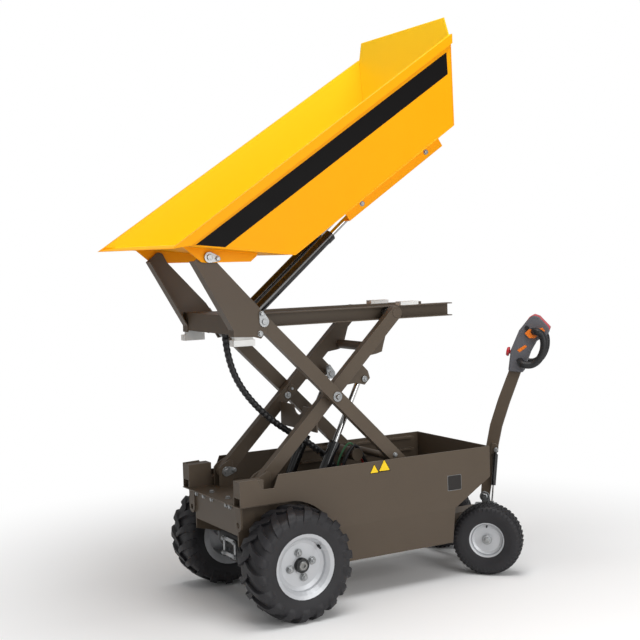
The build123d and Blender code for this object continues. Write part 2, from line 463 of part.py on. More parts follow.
pad_z = (RAIL_LOW - PAD_DROP, RAIL_LOW - PAD_DROP + PAD_H)
landing = block((BEAM_REAR + 5, BEAM_FRONT + 6), (BOX_INNER + 2, BRACKET_Y + 14), pad_z)
pads = landing + block((BEAM_REAR + 5, BEAM_FRONT - 3), (BOX_INNER + 2, BRACKET_Y), (pad_z[1], RAIL_LOW - 16))
rest = block((-680, -596), (RAIL_Y - 1, RAIL_Y + RAIL_W), (RAIL_HIGH, RAIL_HIGH + 14))
parts["rest_pads"] = pair(pads) + pair(rest)

# ---------------------------------------------------------------- skip
tip = Pos(HINGE[0], 0, HINGE[1]) * Rot(0, TIP_REST, 0)
widen = (RIM_HALF_FRONT - RIM_HALF_REAR) / (LIP[0] - RIM_REAR[0])
lean = SIDE_LEAN / (RIM_REAR[1] - FLOOR_REAR[1])


def side_plane(inset):
    """Plane of the left side wall, moved inwards."""
    return Plane(origin=(RIM_REAR[0], RIM_HALF_REAR - inset, RIM_REAR[1]), z_dir=(-widen, 1, -lean))


def between(shape, inset):
    """What of a shape lies inside both side planes."""
    left = side_plane(inset)
    right = Plane(origin=(left.origin.X, -left.origin.Y, left.origin.Z), z_dir=(-widen, -1, -lean))
    return split(split(shape, bisect_by=left, keep=Keep.BOTTOM), bisect_by=right, keep=Keep.BOTTOM)


def beyond(shape, inset):
    """What of a shape on the left lies outside the left side plane."""
    return split(shape, bisect_by=side_plane(inset), keep=Keep.TOP)


def shifted(points, distance):
    """Open run of points moved to its right by a distance, corners kept sharp."""
    moved = []
    for a, b in zip(points, points[1:]):
        length = hypot(b[0] - a[0], b[1] - a[1])
        nx, nz = (b[1] - a[1]) / length, -(b[0] - a[0]) / length
        moved.append(((a[0] + nx * distance, a[1] + nz * distance),
                      (b[0] + nx * distance, b[1] + nz * distance)))
    out = [moved[0][0]]
    for (a, b), (c, d) in zip(moved, moved[1:]):
        cross_ab = (b[0] - a[0]) * (d[1] - c[1]) - (b[1] - a[1]) * (d[0] - c[0])
        t = ((c[0] - a[0]) * (d[1] - c[1]) - (c[1] - a[1]) * (d[0] - c[0])) / cross_ab
        out.append((a[0] + t * (b[0] - a[0]), a[1] + t * (b[1] - a[1])))
    return out + [moved[-1][1]]


T = SHEET
back_run = (RIM_REAR[0] - FLOOR_REAR[0]) / (RIM_REAR[1] - FLOOR_REAR[1])
chute_run = (CHUTE_BEND[0] - FLOOR_FRONT[0]) / (CHUTE_BEND[1] - FLOOR_FRONT[1])
back_in = T * hypot(1, back_run)
outer_line = [LIP, CHUTE_BEND, FLOOR_FRONT, FLOOR_REAR, RIM_REAR]
inner_line = shifted(outer_line, T)
rim_rise = (inner_line[-1][0] + back_run * 60, inner_line[-1][1] + 60)
inner_line[0] = (inner_line[0][0] + 150, inner_line[0][1] + 70)
inner_line[-1] = rim_rise
hull = between(slab(outer_line, -420, 420), RIM_FOLD)
hollow = between(slab(inner_line, -420, 420), RIM_FOLD + T)
floor_zone = slab([(LIP[0] + 90, LIP[1] - 10), (FLOOR_FRONT[0] + 60, -220), (FLOOR_REAR[0] - 40, -220),
                   FLOOR_REAR, inner_line[3], inner_line[2], inner_line[1], inner_line[0]], -420, 420)
back_zone = slab([(RIM_REAR[0] - 60, RIM_REAR[1] + 1), (FLOOR_REAR[0] - 60, FLOOR_REAR[1] - 40),
                  FLOOR_REAR, inner_line[3], rim_rise], -420, 420)
shell = hull - hollow
skip_floor = shell & floor_zone
skip_back = (shell & back_zone) - floor_zone
skip_sides = shell - floor_zone - back_zone
parts["skip_floor"] = tip * skip_floor

flange_outline = [RIM_REAR, LIP, (LIP[0] - 64, LIP[1] - RIM_DROP), (RIM_REAR[0] + 18, RIM_REAR[1] - RIM_DROP)]
pocket_outline = [(RIM_REAR[0] - 30, RIM_REAR[1] - T), (LIP[0] + 30, LIP[1] - T), (LIP[0] + 30, 40),
                  (RIM_REAR[0] - 30, 40)]
flange_body = beyond(between(slab(flange_outline, -420, 420), 0), RIM_FOLD)
pocket = beyond(between(slab(pocket_outline, -420, 420), T), RIM_FOLD)
rim_fold = flange_body - pocket
left_side = [s for s in skip_sides.solids() if s.center().Y > 0]
skip_left = left_side[0] + rim_fold
parts["skip_side_left"] = tip * skip_left
parts["skip_side_right"] = tip * mirrored(skip_left)

board_base, board_peak = RIM_REAR, (RIM_REAR[0] + back_run * (BOARD_TOP - RIM_REAR[1]), BOARD_TOP)
board = slab([board_base, board_peak, (board_peak[0] + back_in, board_peak[1]),
              (board_base[0] + back_in, board_base[1])], -RIM_HALF_REAR + RIM_FOLD, RIM_HALF_REAR - RIM_FOLD)
trim = strip([(BOARD_HALF, BOARD_TOP + 1), (RIM_HALF_REAR - RIM_FOLD - 6, RIM_REAR[1]),
              (RIM_HALF_REAR + 64, RIM_REAR[1]), (RIM_HALF_REAR + 64, BOARD_TOP + 1)],
             RIM_REAR[0] - 129, RIM_REAR[0] + 171)
parts["skip_back"] = tip * (skip_back + (board - trim - mirrored(trim)))

runner_foot = FLOOR_REAR[1] - RUNNER_H
runner = strip([(RUNNER_Y, FLOOR_REAR[1]), (RUNNER_Y, runner_foot), (RUNNER_Y - 40, runner_foot),
                (RUNNER_Y - 40, runner_foot + T), (RUNNER_Y - T, runner_foot + T),
                (RUNNER_Y - T, FLOOR_REAR[1])], FLOOR_REAR[0] + 60, FLOOR_REAR[0] + 570)


def level(point):
    """An (x, z) point of the tipped skip in its level frame."""
    dx, dz, a = point[0] - HINGE[0], point[1] - HINGE[1], radians(TIP_REST)
    return (dx * cos(a) - dz * sin(a), dx * sin(a) + dz * cos(a))


def chute_w(u):
    """Height of the chute's outer face at u."""
    return FLOOR_FRONT[1] + (u - FLOOR_FRONT[0]) / chute_run


hinge_y = BRACKET_Y + 5 + 4
ear_plan = [(-165, chute_w(-165)), (-153, -104), (-124, -106), (-68, -68), (20, -9), (32, 2),
            (58, chute_w(58))]
hinge_ear = slab(ear_plan, hinge_y, hinge_y + 5) - across((0, 0), hinge_y, hinge_y + 5, PIN_R + BORE_GAP)
eye = level(TIP_EYE)
ear_at = (TIP_Y - BARREL_R, TIP_Y + BARREL_R)      # faces of the rod's ears towards the rod's eye
rod_ear = slab([(eye[0] - 70, FLOOR_REAR[1]), (eye[0] - 18, eye[1] - 14), (eye[0] + 4, eye[1] - 18),
                (eye[0] + 20, eye[1]), (eye[0] + 60, FLOOR_REAR[1])], ear_at[0] - 6, ear_at[0])
rod_ears = (rod_ear + Pos(0, ear_at[1] - ear_at[0] + 6, 0) * rod_ear
            + across(eye, ear_at[0] - 10, ear_at[0] - 6, PIN_R)
            + across(eye, ear_at[1] + 6, ear_at[1] + 10, PIN_R))
parts["skip_brackets"] = tip * (pair(hinge_ear) + pair(rod_ears) + pair(runner))

# ---------------------------------------------------------------- cylinders


def barrel(base, eye_point, y, length):
    """Cylinder barrel with its base eye and a gland, bored for the rod."""
    solid = (rod(base, eye_point, y, BARREL_R, 22, length)
             + rod(base, eye_point, y, BARREL_R + 2, length - 26, length)
             + link(base, along(base, eye_point, 24), y - EYE_HALF, y + EYE_HALF, 2 * EYE_R))
    solid = solid - across(base, y - EYE_HALF, y + EYE_HALF, PIN_R + BORE_GAP)
    return solid - rod(base, eye_point, y, ROD_R + BORE_GAP, 40, length)


def piston(base, eye_point, y, length, pin_y):
    """Rod with its eye and the eye's own pin, reaching back into the barrel."""
    total = hypot(eye_point[0] - base[0], eye_point[1] - base[1])
    return (rod(base, eye_point, y, ROD_R, length - 190, total)
            + across(eye_point, y - EYE_HALF, y + EYE_HALF, EYE_R) + across(eye_point, *pin_y, PIN_R))


for name, base, eye_point, y, length, pin_y in (
        ("lift", LIFT_BASE, LIFT_EYE, LIFT_Y, LIFT_BARREL, (LIFT_Y - 14, INNER_Y - OPEN_GAP)),
        ("tip", TIP_BASE, TIP_EYE, TIP_Y, TIP_BARREL, (ear_at[0] + OPEN_GAP, ear_at[1] - OPEN_GAP))):
    parts[name + "_barrels"] = pair(barrel(base, eye_point, y, length))
    parts[name + "_rods"] = pair(piston(base, eye_point, y, length, pin_y))

# ---------------------------------------------------------------- lift hose
HOSE_R = 13.0
hose_points = [Vector(132, 50, RAIL_LOW - 16.3), Vector(126, 50, 930), Vector(68, 50, 800),
               Vector(-60, 50, 670), Vector(-230, 50, 570), Vector(-330, 50, 470), Vector(-372, 22, 385),
               Vector(-385, 12, 303)]
runs = [b - a for a, b in zip(hose_points, hose_points[1:])]
hose_radii = [0.45 * min(a.length, b.length) / tan(radians(a.get_angle(b)) / 2)
              for a, b in zip(runs, runs[1:])]
print("hose radii", [round(radius) for radius in hose_radii])
hose_line = FilletPolyline(*hose_points, radius=hose_radii)
hose_face = Plane(origin=hose_line @ 0, z_dir=hose_line % 0) * Circle(HOSE_R)
parts["lift_hose"] = sweep(hose_face, path=hose_line)

# ---------------------------------------------------------------- one frame, out to STEP
extent = Compound(children=[Compound(list(p.solids())) for p in parts.values()]).bounding_box()
SHIFT = (-(extent.min.X + extent.max.X) / 2, -(extent.min.Y + extent.max.Y) / 2, -extent.min.Z)
for name, shape in parts.items():
    export_step(Pos(*SHIFT) * Compound(list(shape.solids())), "parts/" + name + ".step")
print(len(parts), "parts, shift", SHIFT)
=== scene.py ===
"""Looks, camera and light of a walk-behind high-tip dumper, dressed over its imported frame.

Everything is drawn in millimetres in the machine's own frame: X forward, Y left, Z up, with the
front axle over X = 0 and the ground at Z = 0.
"""
import logging
from dataclasses import dataclass, field
from enum import Enum
from math import acos, cos, pi, radians, sin
from typing import ClassVar

import bmesh
import bpy
import numpy as np
from mathutils import Matrix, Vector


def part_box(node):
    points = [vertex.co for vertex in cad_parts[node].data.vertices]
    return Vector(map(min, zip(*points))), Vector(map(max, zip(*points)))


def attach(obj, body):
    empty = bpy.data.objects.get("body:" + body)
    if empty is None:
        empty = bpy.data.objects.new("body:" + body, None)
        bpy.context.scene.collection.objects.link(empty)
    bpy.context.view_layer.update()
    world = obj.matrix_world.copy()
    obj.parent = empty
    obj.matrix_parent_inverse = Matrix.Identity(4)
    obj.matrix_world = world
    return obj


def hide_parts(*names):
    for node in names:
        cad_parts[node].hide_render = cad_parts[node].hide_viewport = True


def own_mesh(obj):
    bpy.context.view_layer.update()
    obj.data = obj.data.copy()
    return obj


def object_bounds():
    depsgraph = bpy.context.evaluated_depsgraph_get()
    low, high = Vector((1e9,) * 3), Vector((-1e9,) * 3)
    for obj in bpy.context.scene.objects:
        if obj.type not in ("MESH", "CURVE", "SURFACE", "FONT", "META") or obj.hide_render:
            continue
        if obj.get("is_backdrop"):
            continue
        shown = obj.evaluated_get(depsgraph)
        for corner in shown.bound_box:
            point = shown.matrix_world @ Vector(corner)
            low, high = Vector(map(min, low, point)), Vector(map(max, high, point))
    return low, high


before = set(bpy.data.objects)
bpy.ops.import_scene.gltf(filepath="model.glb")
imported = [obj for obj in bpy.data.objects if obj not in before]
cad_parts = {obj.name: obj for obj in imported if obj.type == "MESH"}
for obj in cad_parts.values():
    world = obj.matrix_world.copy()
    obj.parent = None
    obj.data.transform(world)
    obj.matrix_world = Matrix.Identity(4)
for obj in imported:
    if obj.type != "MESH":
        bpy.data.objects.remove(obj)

log = logging.getLogger("dumper")

MM = 0.001             # metres in a millimetre
AXLE_X = 500.0 * (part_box("front_rim_left")[0].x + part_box("front_rim_left")[1].x)
FRONT_Z, FRONT_Y = 203.0, 300.0
REAR_Z, STUB_REACH = 142.0, 70.0
KINGPIN = (-970.0, 180.0)
STEER_X, STEER_REST = -1060.0, -45.4
LOW, HIGH = (58.0, 475.5), (58.0, 1066.05)
REAR_LOW, REAR_HIGH = (-543.6, 475.5), (-543.6, 1066.05)
MIDDLE = (-242.8, 770.8)
LIFT_EYE, BRIDGE_END = (-403.0, 820.0), (-225.0, 746.0)
HINGE, TIP_REST = (270.0, 1300.95), 33.65
INNER_FACE, OUTER_FACE, BRACKET_FACE, SIDE_FACE = 170.5, 215.0, 222.0, 249.0


# ------------------------------------------------------------------ forms

@dataclass(frozen=True)
class Place:
    """A frame turned and moved in the machine's frame.

    Args:
        matrix: 4 x 4, its axes in the first three columns and its origin in the last.
    """

    matrix: np.ndarray

    @classmethod
    def at(cls, origin, z=(0, 0, 1), x=(1, 0, 0)) -> "Place":
        """Frame at origin with its Z along z and its X as near x as that allows."""
        up = np.array(z, float) / np.linalg.norm(z)
        ahead = np.array(x, float) - np.dot(x, up) * up
        if np.linalg.norm(ahead) < 1e-6:
            ahead = np.cross(up, (0.3, 0.5, 0.8))
        ahead = ahead / np.linalg.norm(ahead)
        matrix = np.eye(4)
        matrix[:3, 0], matrix[:3, 1], matrix[:3, 2] = ahead, np.cross(up, ahead), up
        matrix[:3, 3] = origin
        return cls(matrix)

    @classmethod
    def turned(cls, degrees: float, axis: str, centre=(0, 0, 0)) -> "Place":
        """Turn by degrees about a named axis through centre."""
        turn = np.array(Matrix.Rotation(radians(degrees), 4, axis))
        there, back = np.eye(4), np.eye(4)
        there[:3, 3], back[:3, 3] = centre, -np.array(centre, float)
        return cls(there @ turn @ back)

    def __matmul__(self, other: "Place") -> "Place":
        return Place(self.matrix @ other.matrix)

    def points(self, points: np.ndarray) -> np.ndarray:
        """The points carried from this frame into the machine's."""
        return np.asarray(points, float) @ self.matrix[:3, :3].T + self.matrix[:3, 3]


@dataclass(frozen=True)
class Patch:
    """Points and the faces over them.

    Args:
        points: n x 3, millimetres.
        faces: arrays of corner numbers, one array for each count of corners.
    """

    points: np.ndarray
    faces: tuple

    def placed(self, place: Place) -> "Patch":
        """The same patch carried by a frame."""
        return Patch(place.points(self.points), self.faces)

    def mirrored(self) -> "Patch":
        """The same patch on the other side of the machine."""
        return Patch(self.points * (1, -1, 1), self.faces)

    def both(self) -> list:
        """This patch and its mirror image."""
        return [self, self.mirrored()]


def grid(points: np.ndarray, round_rows=False, round_columns=True, capped=False) -> Patch:
    """Surface over an n x m grid of points, rows joined to rows.

    Args:
        points: n x m x 3.
        round_rows: the last row joins the first.
        round_columns: the last column joins the first.
        capped: the first and last rows are closed by a face each.
    """
    rows, columns = points.shape[:2]
    i = np.arange(rows if round_rows else rows - 1)[:, None]
    j = np.arange(columns if round_columns else columns - 1)[None, :]
    below, beside = (i + 1) % rows, (j + 1) % columns
    quads = np.stack([i * columns + j, i * columns + beside, below * columns + beside,
                      below * columns + j], axis=-1).reshape(-1, 4)
    faces = [quads]
    if capped:
        ring = np.arange(columns)
        faces += [ring[None, ::-1], ring[None, :] + (rows - 1) * columns]
    return Patch(points.reshape(-1, 3), tuple(faces))


def lathe(profile, sides: int = 48, closed: bool = False) -> Patch:
    """(radius, height) profile turned about Z: radius times the cosine and sine of each step."""
    profile = np.array(profile, float)
    turn = np.arange(sides) * 2 * pi / sides
    ring = np.stack([np.cos(turn), np.sin(turn)], axis=-1)
    heights = np.repeat(profile[:, None, 1:], sides, 1)
    points = np.concatenate([profile[:, None, :1] * ring[None], heights], axis=2)
    return grid(points, round_rows=closed)


def prism(outline, low: float, high: float) -> Patch:
    """Flat outline in X and Y carried from Z = low to Z = high."""
    outline = np.array(outline, float)
    ends = np.stack([np.column_stack([outline, np.full(len(outline), h)]) for h in (low, high)])
    return grid(ends, capped=True)


def block(x, y, z) -> Patch:
    """Box between three pairs of limits."""
    return prism([(x[0], y[0]), (x[1], y[0]), (x[1], y[1]), (x[0], y[1])], *z)


def slab(outline, y0: float, y1: float) -> Patch:
    """(x, z) outline carried along Y."""
    flat = prism(outline, y0, y1)
    return Patch(flat.points[:, [0, 2, 1]], flat.faces)


def tube(path, radius, sides: int = 12) -> Patch:
    """Round tube along a path, its rings square to the path's own direction."""
    path = np.array(path, float)
    run = np.gradient(path, axis=0)
    run /= np.linalg.norm(run, axis=1)[:, None]
    spare = np.eye(3)[np.argmin(np.abs(run).max(axis=0))]
    side = np.cross(run, spare)
    side /= np.linalg.norm(side, axis=1)[:, None]
    over = np.cross(run, side)
    turn = np.arange(sides) * 2 * pi / sides
    radius = np.broadcast_to(np.asarray(radius, float), (len(path),))[:, None, None]
    rings = path[:, None] + radius * (np.cos(turn)[None, :, None] * side[:, None]
                                      + np.sin(turn)[None, :, None] * over[:, None])
    return grid(rings, capped=True)


def smooth_run(points, steps: int = 8) -> np.ndarray:
    """Catmull-Rom line through the points: each span is the usual cubic of its four neighbours."""
    p = np.array(points, float)
    p = np.vstack([2 * p[0] - p[1], p, 2 * p[-1] - p[-2]])
    t = np.linspace(0, 1, steps, endpoint=False)[None, :, None]
    a, b, c, d = (p[k:len(p) - 3 + k][:, None] for k in range(4))
    spans = 0.5 * (2 * b + (c - a) * t + (2 * a - 5 * b + 4 * c - d) * t ** 2
                   + (3 * b - a - 3 * c + d) * t ** 3)
    return np.vstack([spans.reshape(-1, p.shape[1]), p[-2]])


def pear(big: float, small: float, length: float, steps: int = 9) -> np.ndarray:
    """Outline round two circles, the small one length away along X."""
    lean = acos((big - small) / length)
    around = np.linspace(lean, 2 * pi - lean, 2 * steps)
    across = np.linspace(-lean, lean, steps)
    return np.vstack([np.column_stack([big * np.cos(around), big * np.sin(around)]),
                      np.column_stack([length + small * np.cos(across), small * np.sin(across)])])


def round_polygon(corners, radius: float, steps: int = 4) -> np.ndarray:
    """Outline with each corner cut by a short curve, radius back from it."""
    p = np.array(corners, float)
    back, ahead = np.roll(p, 1, 0) - p, np.roll(p, -1, 0) - p
    back *= radius / np.linalg.norm(back, axis=1)[:, None]
    ahead *= radius / np.linalg.norm(ahead, axis=1)[:, None]
    t = np.linspace(0, 1, steps)[None, :, None]
    return (p[:, None] + back[:, None] * (1 - t) ** 2 + ahead[:, None] * t ** 2).reshape(-1, 2)


def hexagon(radius: float) -> np.ndarray:
    """Six corners on a circle."""
    turn = np.arange(6) * pi / 3
    return np.column_stack([radius * np.cos(turn), radius * np.sin(turn)])


def drum(radius: float, low: float, high: float, chamfer: float = 0.8, sides: int = 32) -> Patch:
    """Disc or pin with broken edges, standing on Z."""
    return lathe([(0, low), (radius - chamfer, low), (radius, low + chamfer), (radius, high - chamfer),
                  (radius - chamfer, high), (0, high)], sides)


def bolt(thread: float, stud: float = 0.0) -> list:
    """Washer, hex head and thread end standing on Z = 0.

    Args:
        thread: thread diameter.
        stud: how far the thread stands out of a nut, or 0 for a bolt's head.
    """
    washer = drum(thread * 1.1, 0, thread * 0.18, 0.2, 28)
    head = prism(hexagon(thread * 0.9), thread * 0.18, thread * 0.8)
    crown = lathe([(thread * 0.78, thread * 0.78), (thread * 0.7, thread * 0.88), (0, thread * 0.88)], 24)
    parts = [washer, head, crown]
    if stud:
        parts.append(drum(thread * 0.5, thread * 0.5, thread * 0.8 + stud, thread * 0.1, 20))
    return parts


# ------------------------------------------------------------------ the skip's form

def tipped() -> Place:
    """The skip's level frame, hinge at its origin, as it stands tipped."""
    return Place.turned(TIP_REST, "Y", (HINGE[0], 0, HINGE[1])) @ Place.at((HINGE[0], 0, HINGE[1]))


class SkipForm:
    """Where the skip's sheets lie in its level frame."""

    SHEET = 4.0
    LINE = ((141, 131), (77, 101), (-243, -161), (-1100, -161), (-1271, 131))

    @staticmethod
    def wall(u, w):
        """Y of the side wall's outer face: it widens forwards and leans outwards upwards."""
        return 322.0 + (u + 1271.0) * 27.0 / 1412.0 + (w - 131.0) * 18.0 / 292.0

    @classmethod
    def middle_planes(cls) -> list:
        """(outward normal, distance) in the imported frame, metres, of each sheet's middle."""
        sides = [((-27.0 / 1412.0, side, -18.0 / 292.0), (0, side * cls.wall(0, 0), 0)) for side in (1, -1)]
        floor = [((w0 - w1, 0, u1 - u0), (u0, 0, w0))
                 for (u0, w0), (u1, w1) in zip(cls.LINE[1:], cls.LINE[2:])]
        planes = []
        for normal, point in sides + floor:
            normal = np.array(normal) / np.linalg.norm(normal)
            turned = tipped().matrix[:3, :3] @ normal
            at = (tipped().points(np.array([point]) - normal * cls.SHEET / 2)[0] + (AXLE_X, 0, 0)) * MM
            planes.append((tuple(turned), float(turned @ at)))
        return planes


# ------------------------------------------------------------------ finishes

class Surface(Enum):
    """How a finish is worked: the noise scale of its colour's drift, and that of its fine grain."""

    PAINT = (9, 700)
    METAL = (60, 900)
    MOULDED = (25, 1100)
    RUBBER = (30, 520)


@dataclass(frozen=True)
class Finish:
    """A procedural finish.

    Args:
        name: material name.
        rgb: colour as seen, 0 to 255.
        surface: the kind of working.
        rough: mean roughness.
        metal: metallic share.
        mottle: how far the colour drifts.
        edge: how much lighter the edges are painted, a painted highlight standing in for light caught along
            them.
        grain: bump strength of the fine grain.
        coat: clear coat weight.
        slot: material slot of the record that it stands for; not used by this script.
        ior: index of refraction, lower where the surface mirrors less of the white room.
        inside: colour within the walls of the skip, where it differs: painted light, a lighter and yellower
            copy of the paint standing in for the light that falls inside the skip.
    """

    name: str
    rgb: tuple
    surface: Surface = Surface.PAINT
    rough: float = 0.42
    metal: float = 0.0
    mottle: float = 0.08
    edge: float = 0.25
    grain: float = 0.06
    coat: float = 0.0
    slot: str = ""
    ior: float = 1.45
    inside: tuple = ()

    EDGE_RADIUS: ClassVar[float] = 1.6
    LIGHTEST: ClassVar[float] = 0.97

    def build(self) -> bpy.types.Material:
        """The material, made once."""
        known = bpy.data.materials.get(self.name)
        return known if known else self._make()

    def _make(self) -> bpy.types.Material:
        made = bpy.data.materials.new(self.name)
        made.use_nodes = True
        tree = made.node_tree
        shader = tree.nodes["Principled BSDF"]
        linear = self._linear(self.rgb)
        made.diffuse_color = (*linear, 1)
        where = tree.nodes.new("ShaderNodeTexCoord").outputs["Object"]
        slow, fast = self.surface.value
        drift = self._noise(tree, where, slow, 4)
        fine = self._noise(tree, where, fast, 2)
        colour = self._mix(tree, drift, self._scaled(linear, 1 - self.mottle),
                           self._scaled(linear, 1 + self.mottle))
        bevel = tree.nodes.new("ShaderNodeBevel")
        bevel.samples = 4
        bevel.inputs["Radius"].default_value = self.EDGE_RADIUS * MM
        # painted highlight: edges lightened in colour where they would catch the light
        if self.edge:
            colour = self._painted_edge_highlight(tree, bevel, colour, linear)
        # painted light: the skip's inner walls get a lighter, yellower copy of its paint
        if self.inside:
            colour = self._mix(tree, self._painted_light_inside_mask(tree, where), colour, self._linear(self.inside))
        tree.links.new(colour, shader.inputs["Base Color"])
        spread = tree.nodes.new("ShaderNodeMapRange")
        spread.inputs["To Min"].default_value = max(self.rough - 0.08, 0.05)
        spread.inputs["To Max"].default_value = min(self.rough + 0.10, 1.0)
        tree.links.new(drift, spread.inputs["Value"])
        tree.links.new(spread.outputs["Result"], shader.inputs["Roughness"])
        bump = tree.nodes.new("ShaderNodeBump")
        bump.inputs["Strength"].default_value = self.grain
        bump.inputs["Distance"].default_value = 0.001
        tree.links.new(fine, bump.inputs["Height"])
        tree.links.new(bevel.outputs["Normal"], bump.inputs["Normal"])
        tree.links.new(bump.outputs["Normal"], shader.inputs["Normal"])
        shader.inputs["Metallic"].default_value = self.metal
        shader.inputs["IOR"].default_value = self.ior
        shader.inputs["Coat Weight"].default_value = self.coat
        shader.inputs["Coat Roughness"].default_value = 0.12
        return made

    @staticmethod
    def _linear(rgb) -> tuple:
        """sRGB 0 to 255 as linear light."""
        share = np.array(rgb, float) / 255
        return tuple(np.where(share <= 0.04045, share / 12.92, ((share + 0.055) / 1.055) ** 2.4))

    @staticmethod
    def _scaled(linear, share: float) -> tuple:
        """A colour made lighter or darker, held within what paint can be."""
        return tuple(np.clip(np.array(linear) * share, 0, Finish.LIGHTEST))

    @staticmethod
    def _noise(tree, where, scale: float, detail: float):
        """Noise over the object's own coordinates."""
        noise = tree.nodes.new("ShaderNodeTexNoise")
        noise.inputs["Scale"].default_value = scale
        noise.inputs["Detail"].default_value = detail
        tree.links.new(where, noise.inputs["Vector"])
        return noise.outputs["Fac"]

    @staticmethod
    def _mix(tree, factor, low, high):
        """Colour between two, each a socket or a plain colour."""
        mix = tree.nodes.new("ShaderNodeMix")
        mix.data_type = "RGBA"
        tree.links.new(factor, mix.inputs["Factor"])
        for slot, value in ((6, low), (7, high)):
            if isinstance(value, bpy.types.NodeSocket):
                tree.links.new(value, mix.inputs[slot])
            else:
                mix.inputs[slot].default_value = (*value, 1)
        return mix.outputs[2]

    @staticmethod
    def _painted_light_inside_mask(tree, where):
        """1 where a point lies behind the middle of every wall of the skip, 0 elsewhere: the mask of the
        painted light inside the skip.
        """
        share = None
        for normal, distance in SkipForm.middle_planes():
            dot = tree.nodes.new("ShaderNodeVectorMath")
            dot.operation = "DOT_PRODUCT"
            tree.links.new(where, dot.inputs[0])
            dot.inputs[1].default_value = normal
            behind = tree.nodes.new("ShaderNodeMath")
            behind.operation = "LESS_THAN"
            tree.links.new(dot.outputs["Value"], behind.inputs[0])
            behind.inputs[1].default_value = distance
            if share:
                both = tree.nodes.new("ShaderNodeMath")
                both.operation = "MULTIPLY"
                tree.links.new(share, both.inputs[0])
                tree.links.new(behind.outputs[0], both.inputs[1])
                behind = both
            share = behind.outputs[0]
        return share

    def _painted_edge_highlight(self, tree, bevel, colour, linear):
        """Painted highlight: colour lightened where the rounded normal leaves the flat one, as if the edges
        caught the light.
        """
        flat = tree.nodes.new("ShaderNodeNewGeometry").outputs["Normal"]
        dot = tree.nodes.new("ShaderNodeVectorMath")
        dot.operation = "DOT_PRODUCT"
        tree.links.new(bevel.outputs["Normal"], dot.inputs[0])
        tree.links.new(flat, dot.inputs[1])
        share = tree.nodes.new("ShaderNodeMapRange")
        share.inputs["From Min"].default_value = 0.995
        share.inputs["From Max"].default_value = 0.90
        share.inputs["To Max"].default_value = self.edge
        tree.links.new(dot.outputs["Value"], share.inputs["Value"])
        # colour of the painted edge highlight, lighter than the paint
        edge_highlight_colour = tuple(np.clip(np.array(linear) * 1.5 + 0.10, 0, self.LIGHTEST))
        return self._mix(tree, share.outputs["Result"], colour, edge_highlight_colour)


# edge on each finish below sets the strength of its painted highlight along edges
CHASSIS = Finish("chassis_grey", (88, 77, 65), rough=0.40, mottle=0.06, edge=0.8,
                 slot="chassis_paint", ior=1.33)
DARK_PAINT = Finish("drive_black", (40, 36, 33), rough=0.45, slot="drive_black", ior=1.33)
# the skip's inside colour is painted light, a lighter and yellower copy of its orange
SKIP = Finish("skip_orange", (255, 168, 0), rough=0.42, mottle=0.03, edge=0.3, slot="skip_paint", ior=1.22,
              inside=(250, 206, 34))
STRIPE = Finish("stripe_black", (14, 12, 12), Surface.MOULDED, 0.5, edge=0.0, grain=0.02,
                slot="skip_paint", ior=1.2)
ZINC = Finish("zinc_plate", (158, 160, 161), Surface.METAL, 0.36, 0.9, 0.14, 0.2, slot="zinc_steel")
SILVER = Finish("rim_silver", (160, 161, 163), rough=0.34, metal=0.7, mottle=0.05, edge=0.3,
                slot="rim_silver")
TYRE = Finish("tyre_black", (34, 33, 36), Surface.RUBBER, 0.52, mottle=0.40, edge=0.10, grain=0.35,
              slot="tyre_rubber")
PLASTIC = Finish("moulded_black", (27, 27, 29), Surface.MOULDED, 0.46, edge=0.10, grain=0.15,
                 slot="handle_black")
HEAD_GREY = Finish("moulded_grey", (92, 92, 97), Surface.MOULDED, 0.50, edge=0.12, grain=0.18,
                   slot="head_grey")
ORANGE = Finish("moulded_orange", (236, 122, 22), Surface.MOULDED, 0.40, edge=0.1, grain=0.08,
                slot="control_red")
RED = Finish("moulded_red", (200, 28, 44), Surface.MOULDED, 0.30, edge=0.1, grain=0.05, coat=0.3,
             slot="control_red")
BARREL = Finish("barrel_gloss", (20, 20, 21), rough=0.20, edge=0.2, grain=0.02, coat=0.5, slot="barrel_black")
CHROME = Finish("rod_chrome", (176, 178, 182), Surface.METAL, 0.14, 1.0, 0.03, 0.0, 0.01, slot="rod_chrome")
NYLON = Finish("nylon_white", (222, 222, 220), Surface.MOULDED, 0.55, edge=0.05, grain=0.10, slot="pad_white")
STEEL = Finish("bare_steel", (140, 140, 138), Surface.METAL, 0.38, 0.85, 0.15, 0.2, slot="roller_steel")
BATTERY = Finish("battery_case", (74, 80, 74), Surface.MOULDED, 0.55, edge=0.1, grain=0.2,
                 slot="battery_grey")
BLUE = Finish("plug_blue", (46, 92, 150), Surface.MOULDED, 0.45, edge=0.1, slot="battery_grey")
YELLOW = Finish("label_yellow", (250, 206, 12), Surface.MOULDED, 0.45, edge=0.0, grain=0.01,
                slot="skip_paint")
PLATE = Finish("plate_dark", (30, 26, 24), Surface.MOULDED, 0.40, edge=0.0, grain=0.01, slot="chassis_paint")
HOSE = Finish("hose_black", (24, 23, 24), Surface.RUBBER, 0.34, edge=0.05, grain=0.10, slot="hose_rubber")
WIRE_GREEN = Finish("wire_green", (70, 130, 90), Surface.MOULDED, 0.45, edge=0.0, slot="hose_rubber")
WIRE_RED = Finish("wire_red", (170, 40, 36), Surface.MOULDED, 0.45, edge=0.0, slot="hose_rubber")

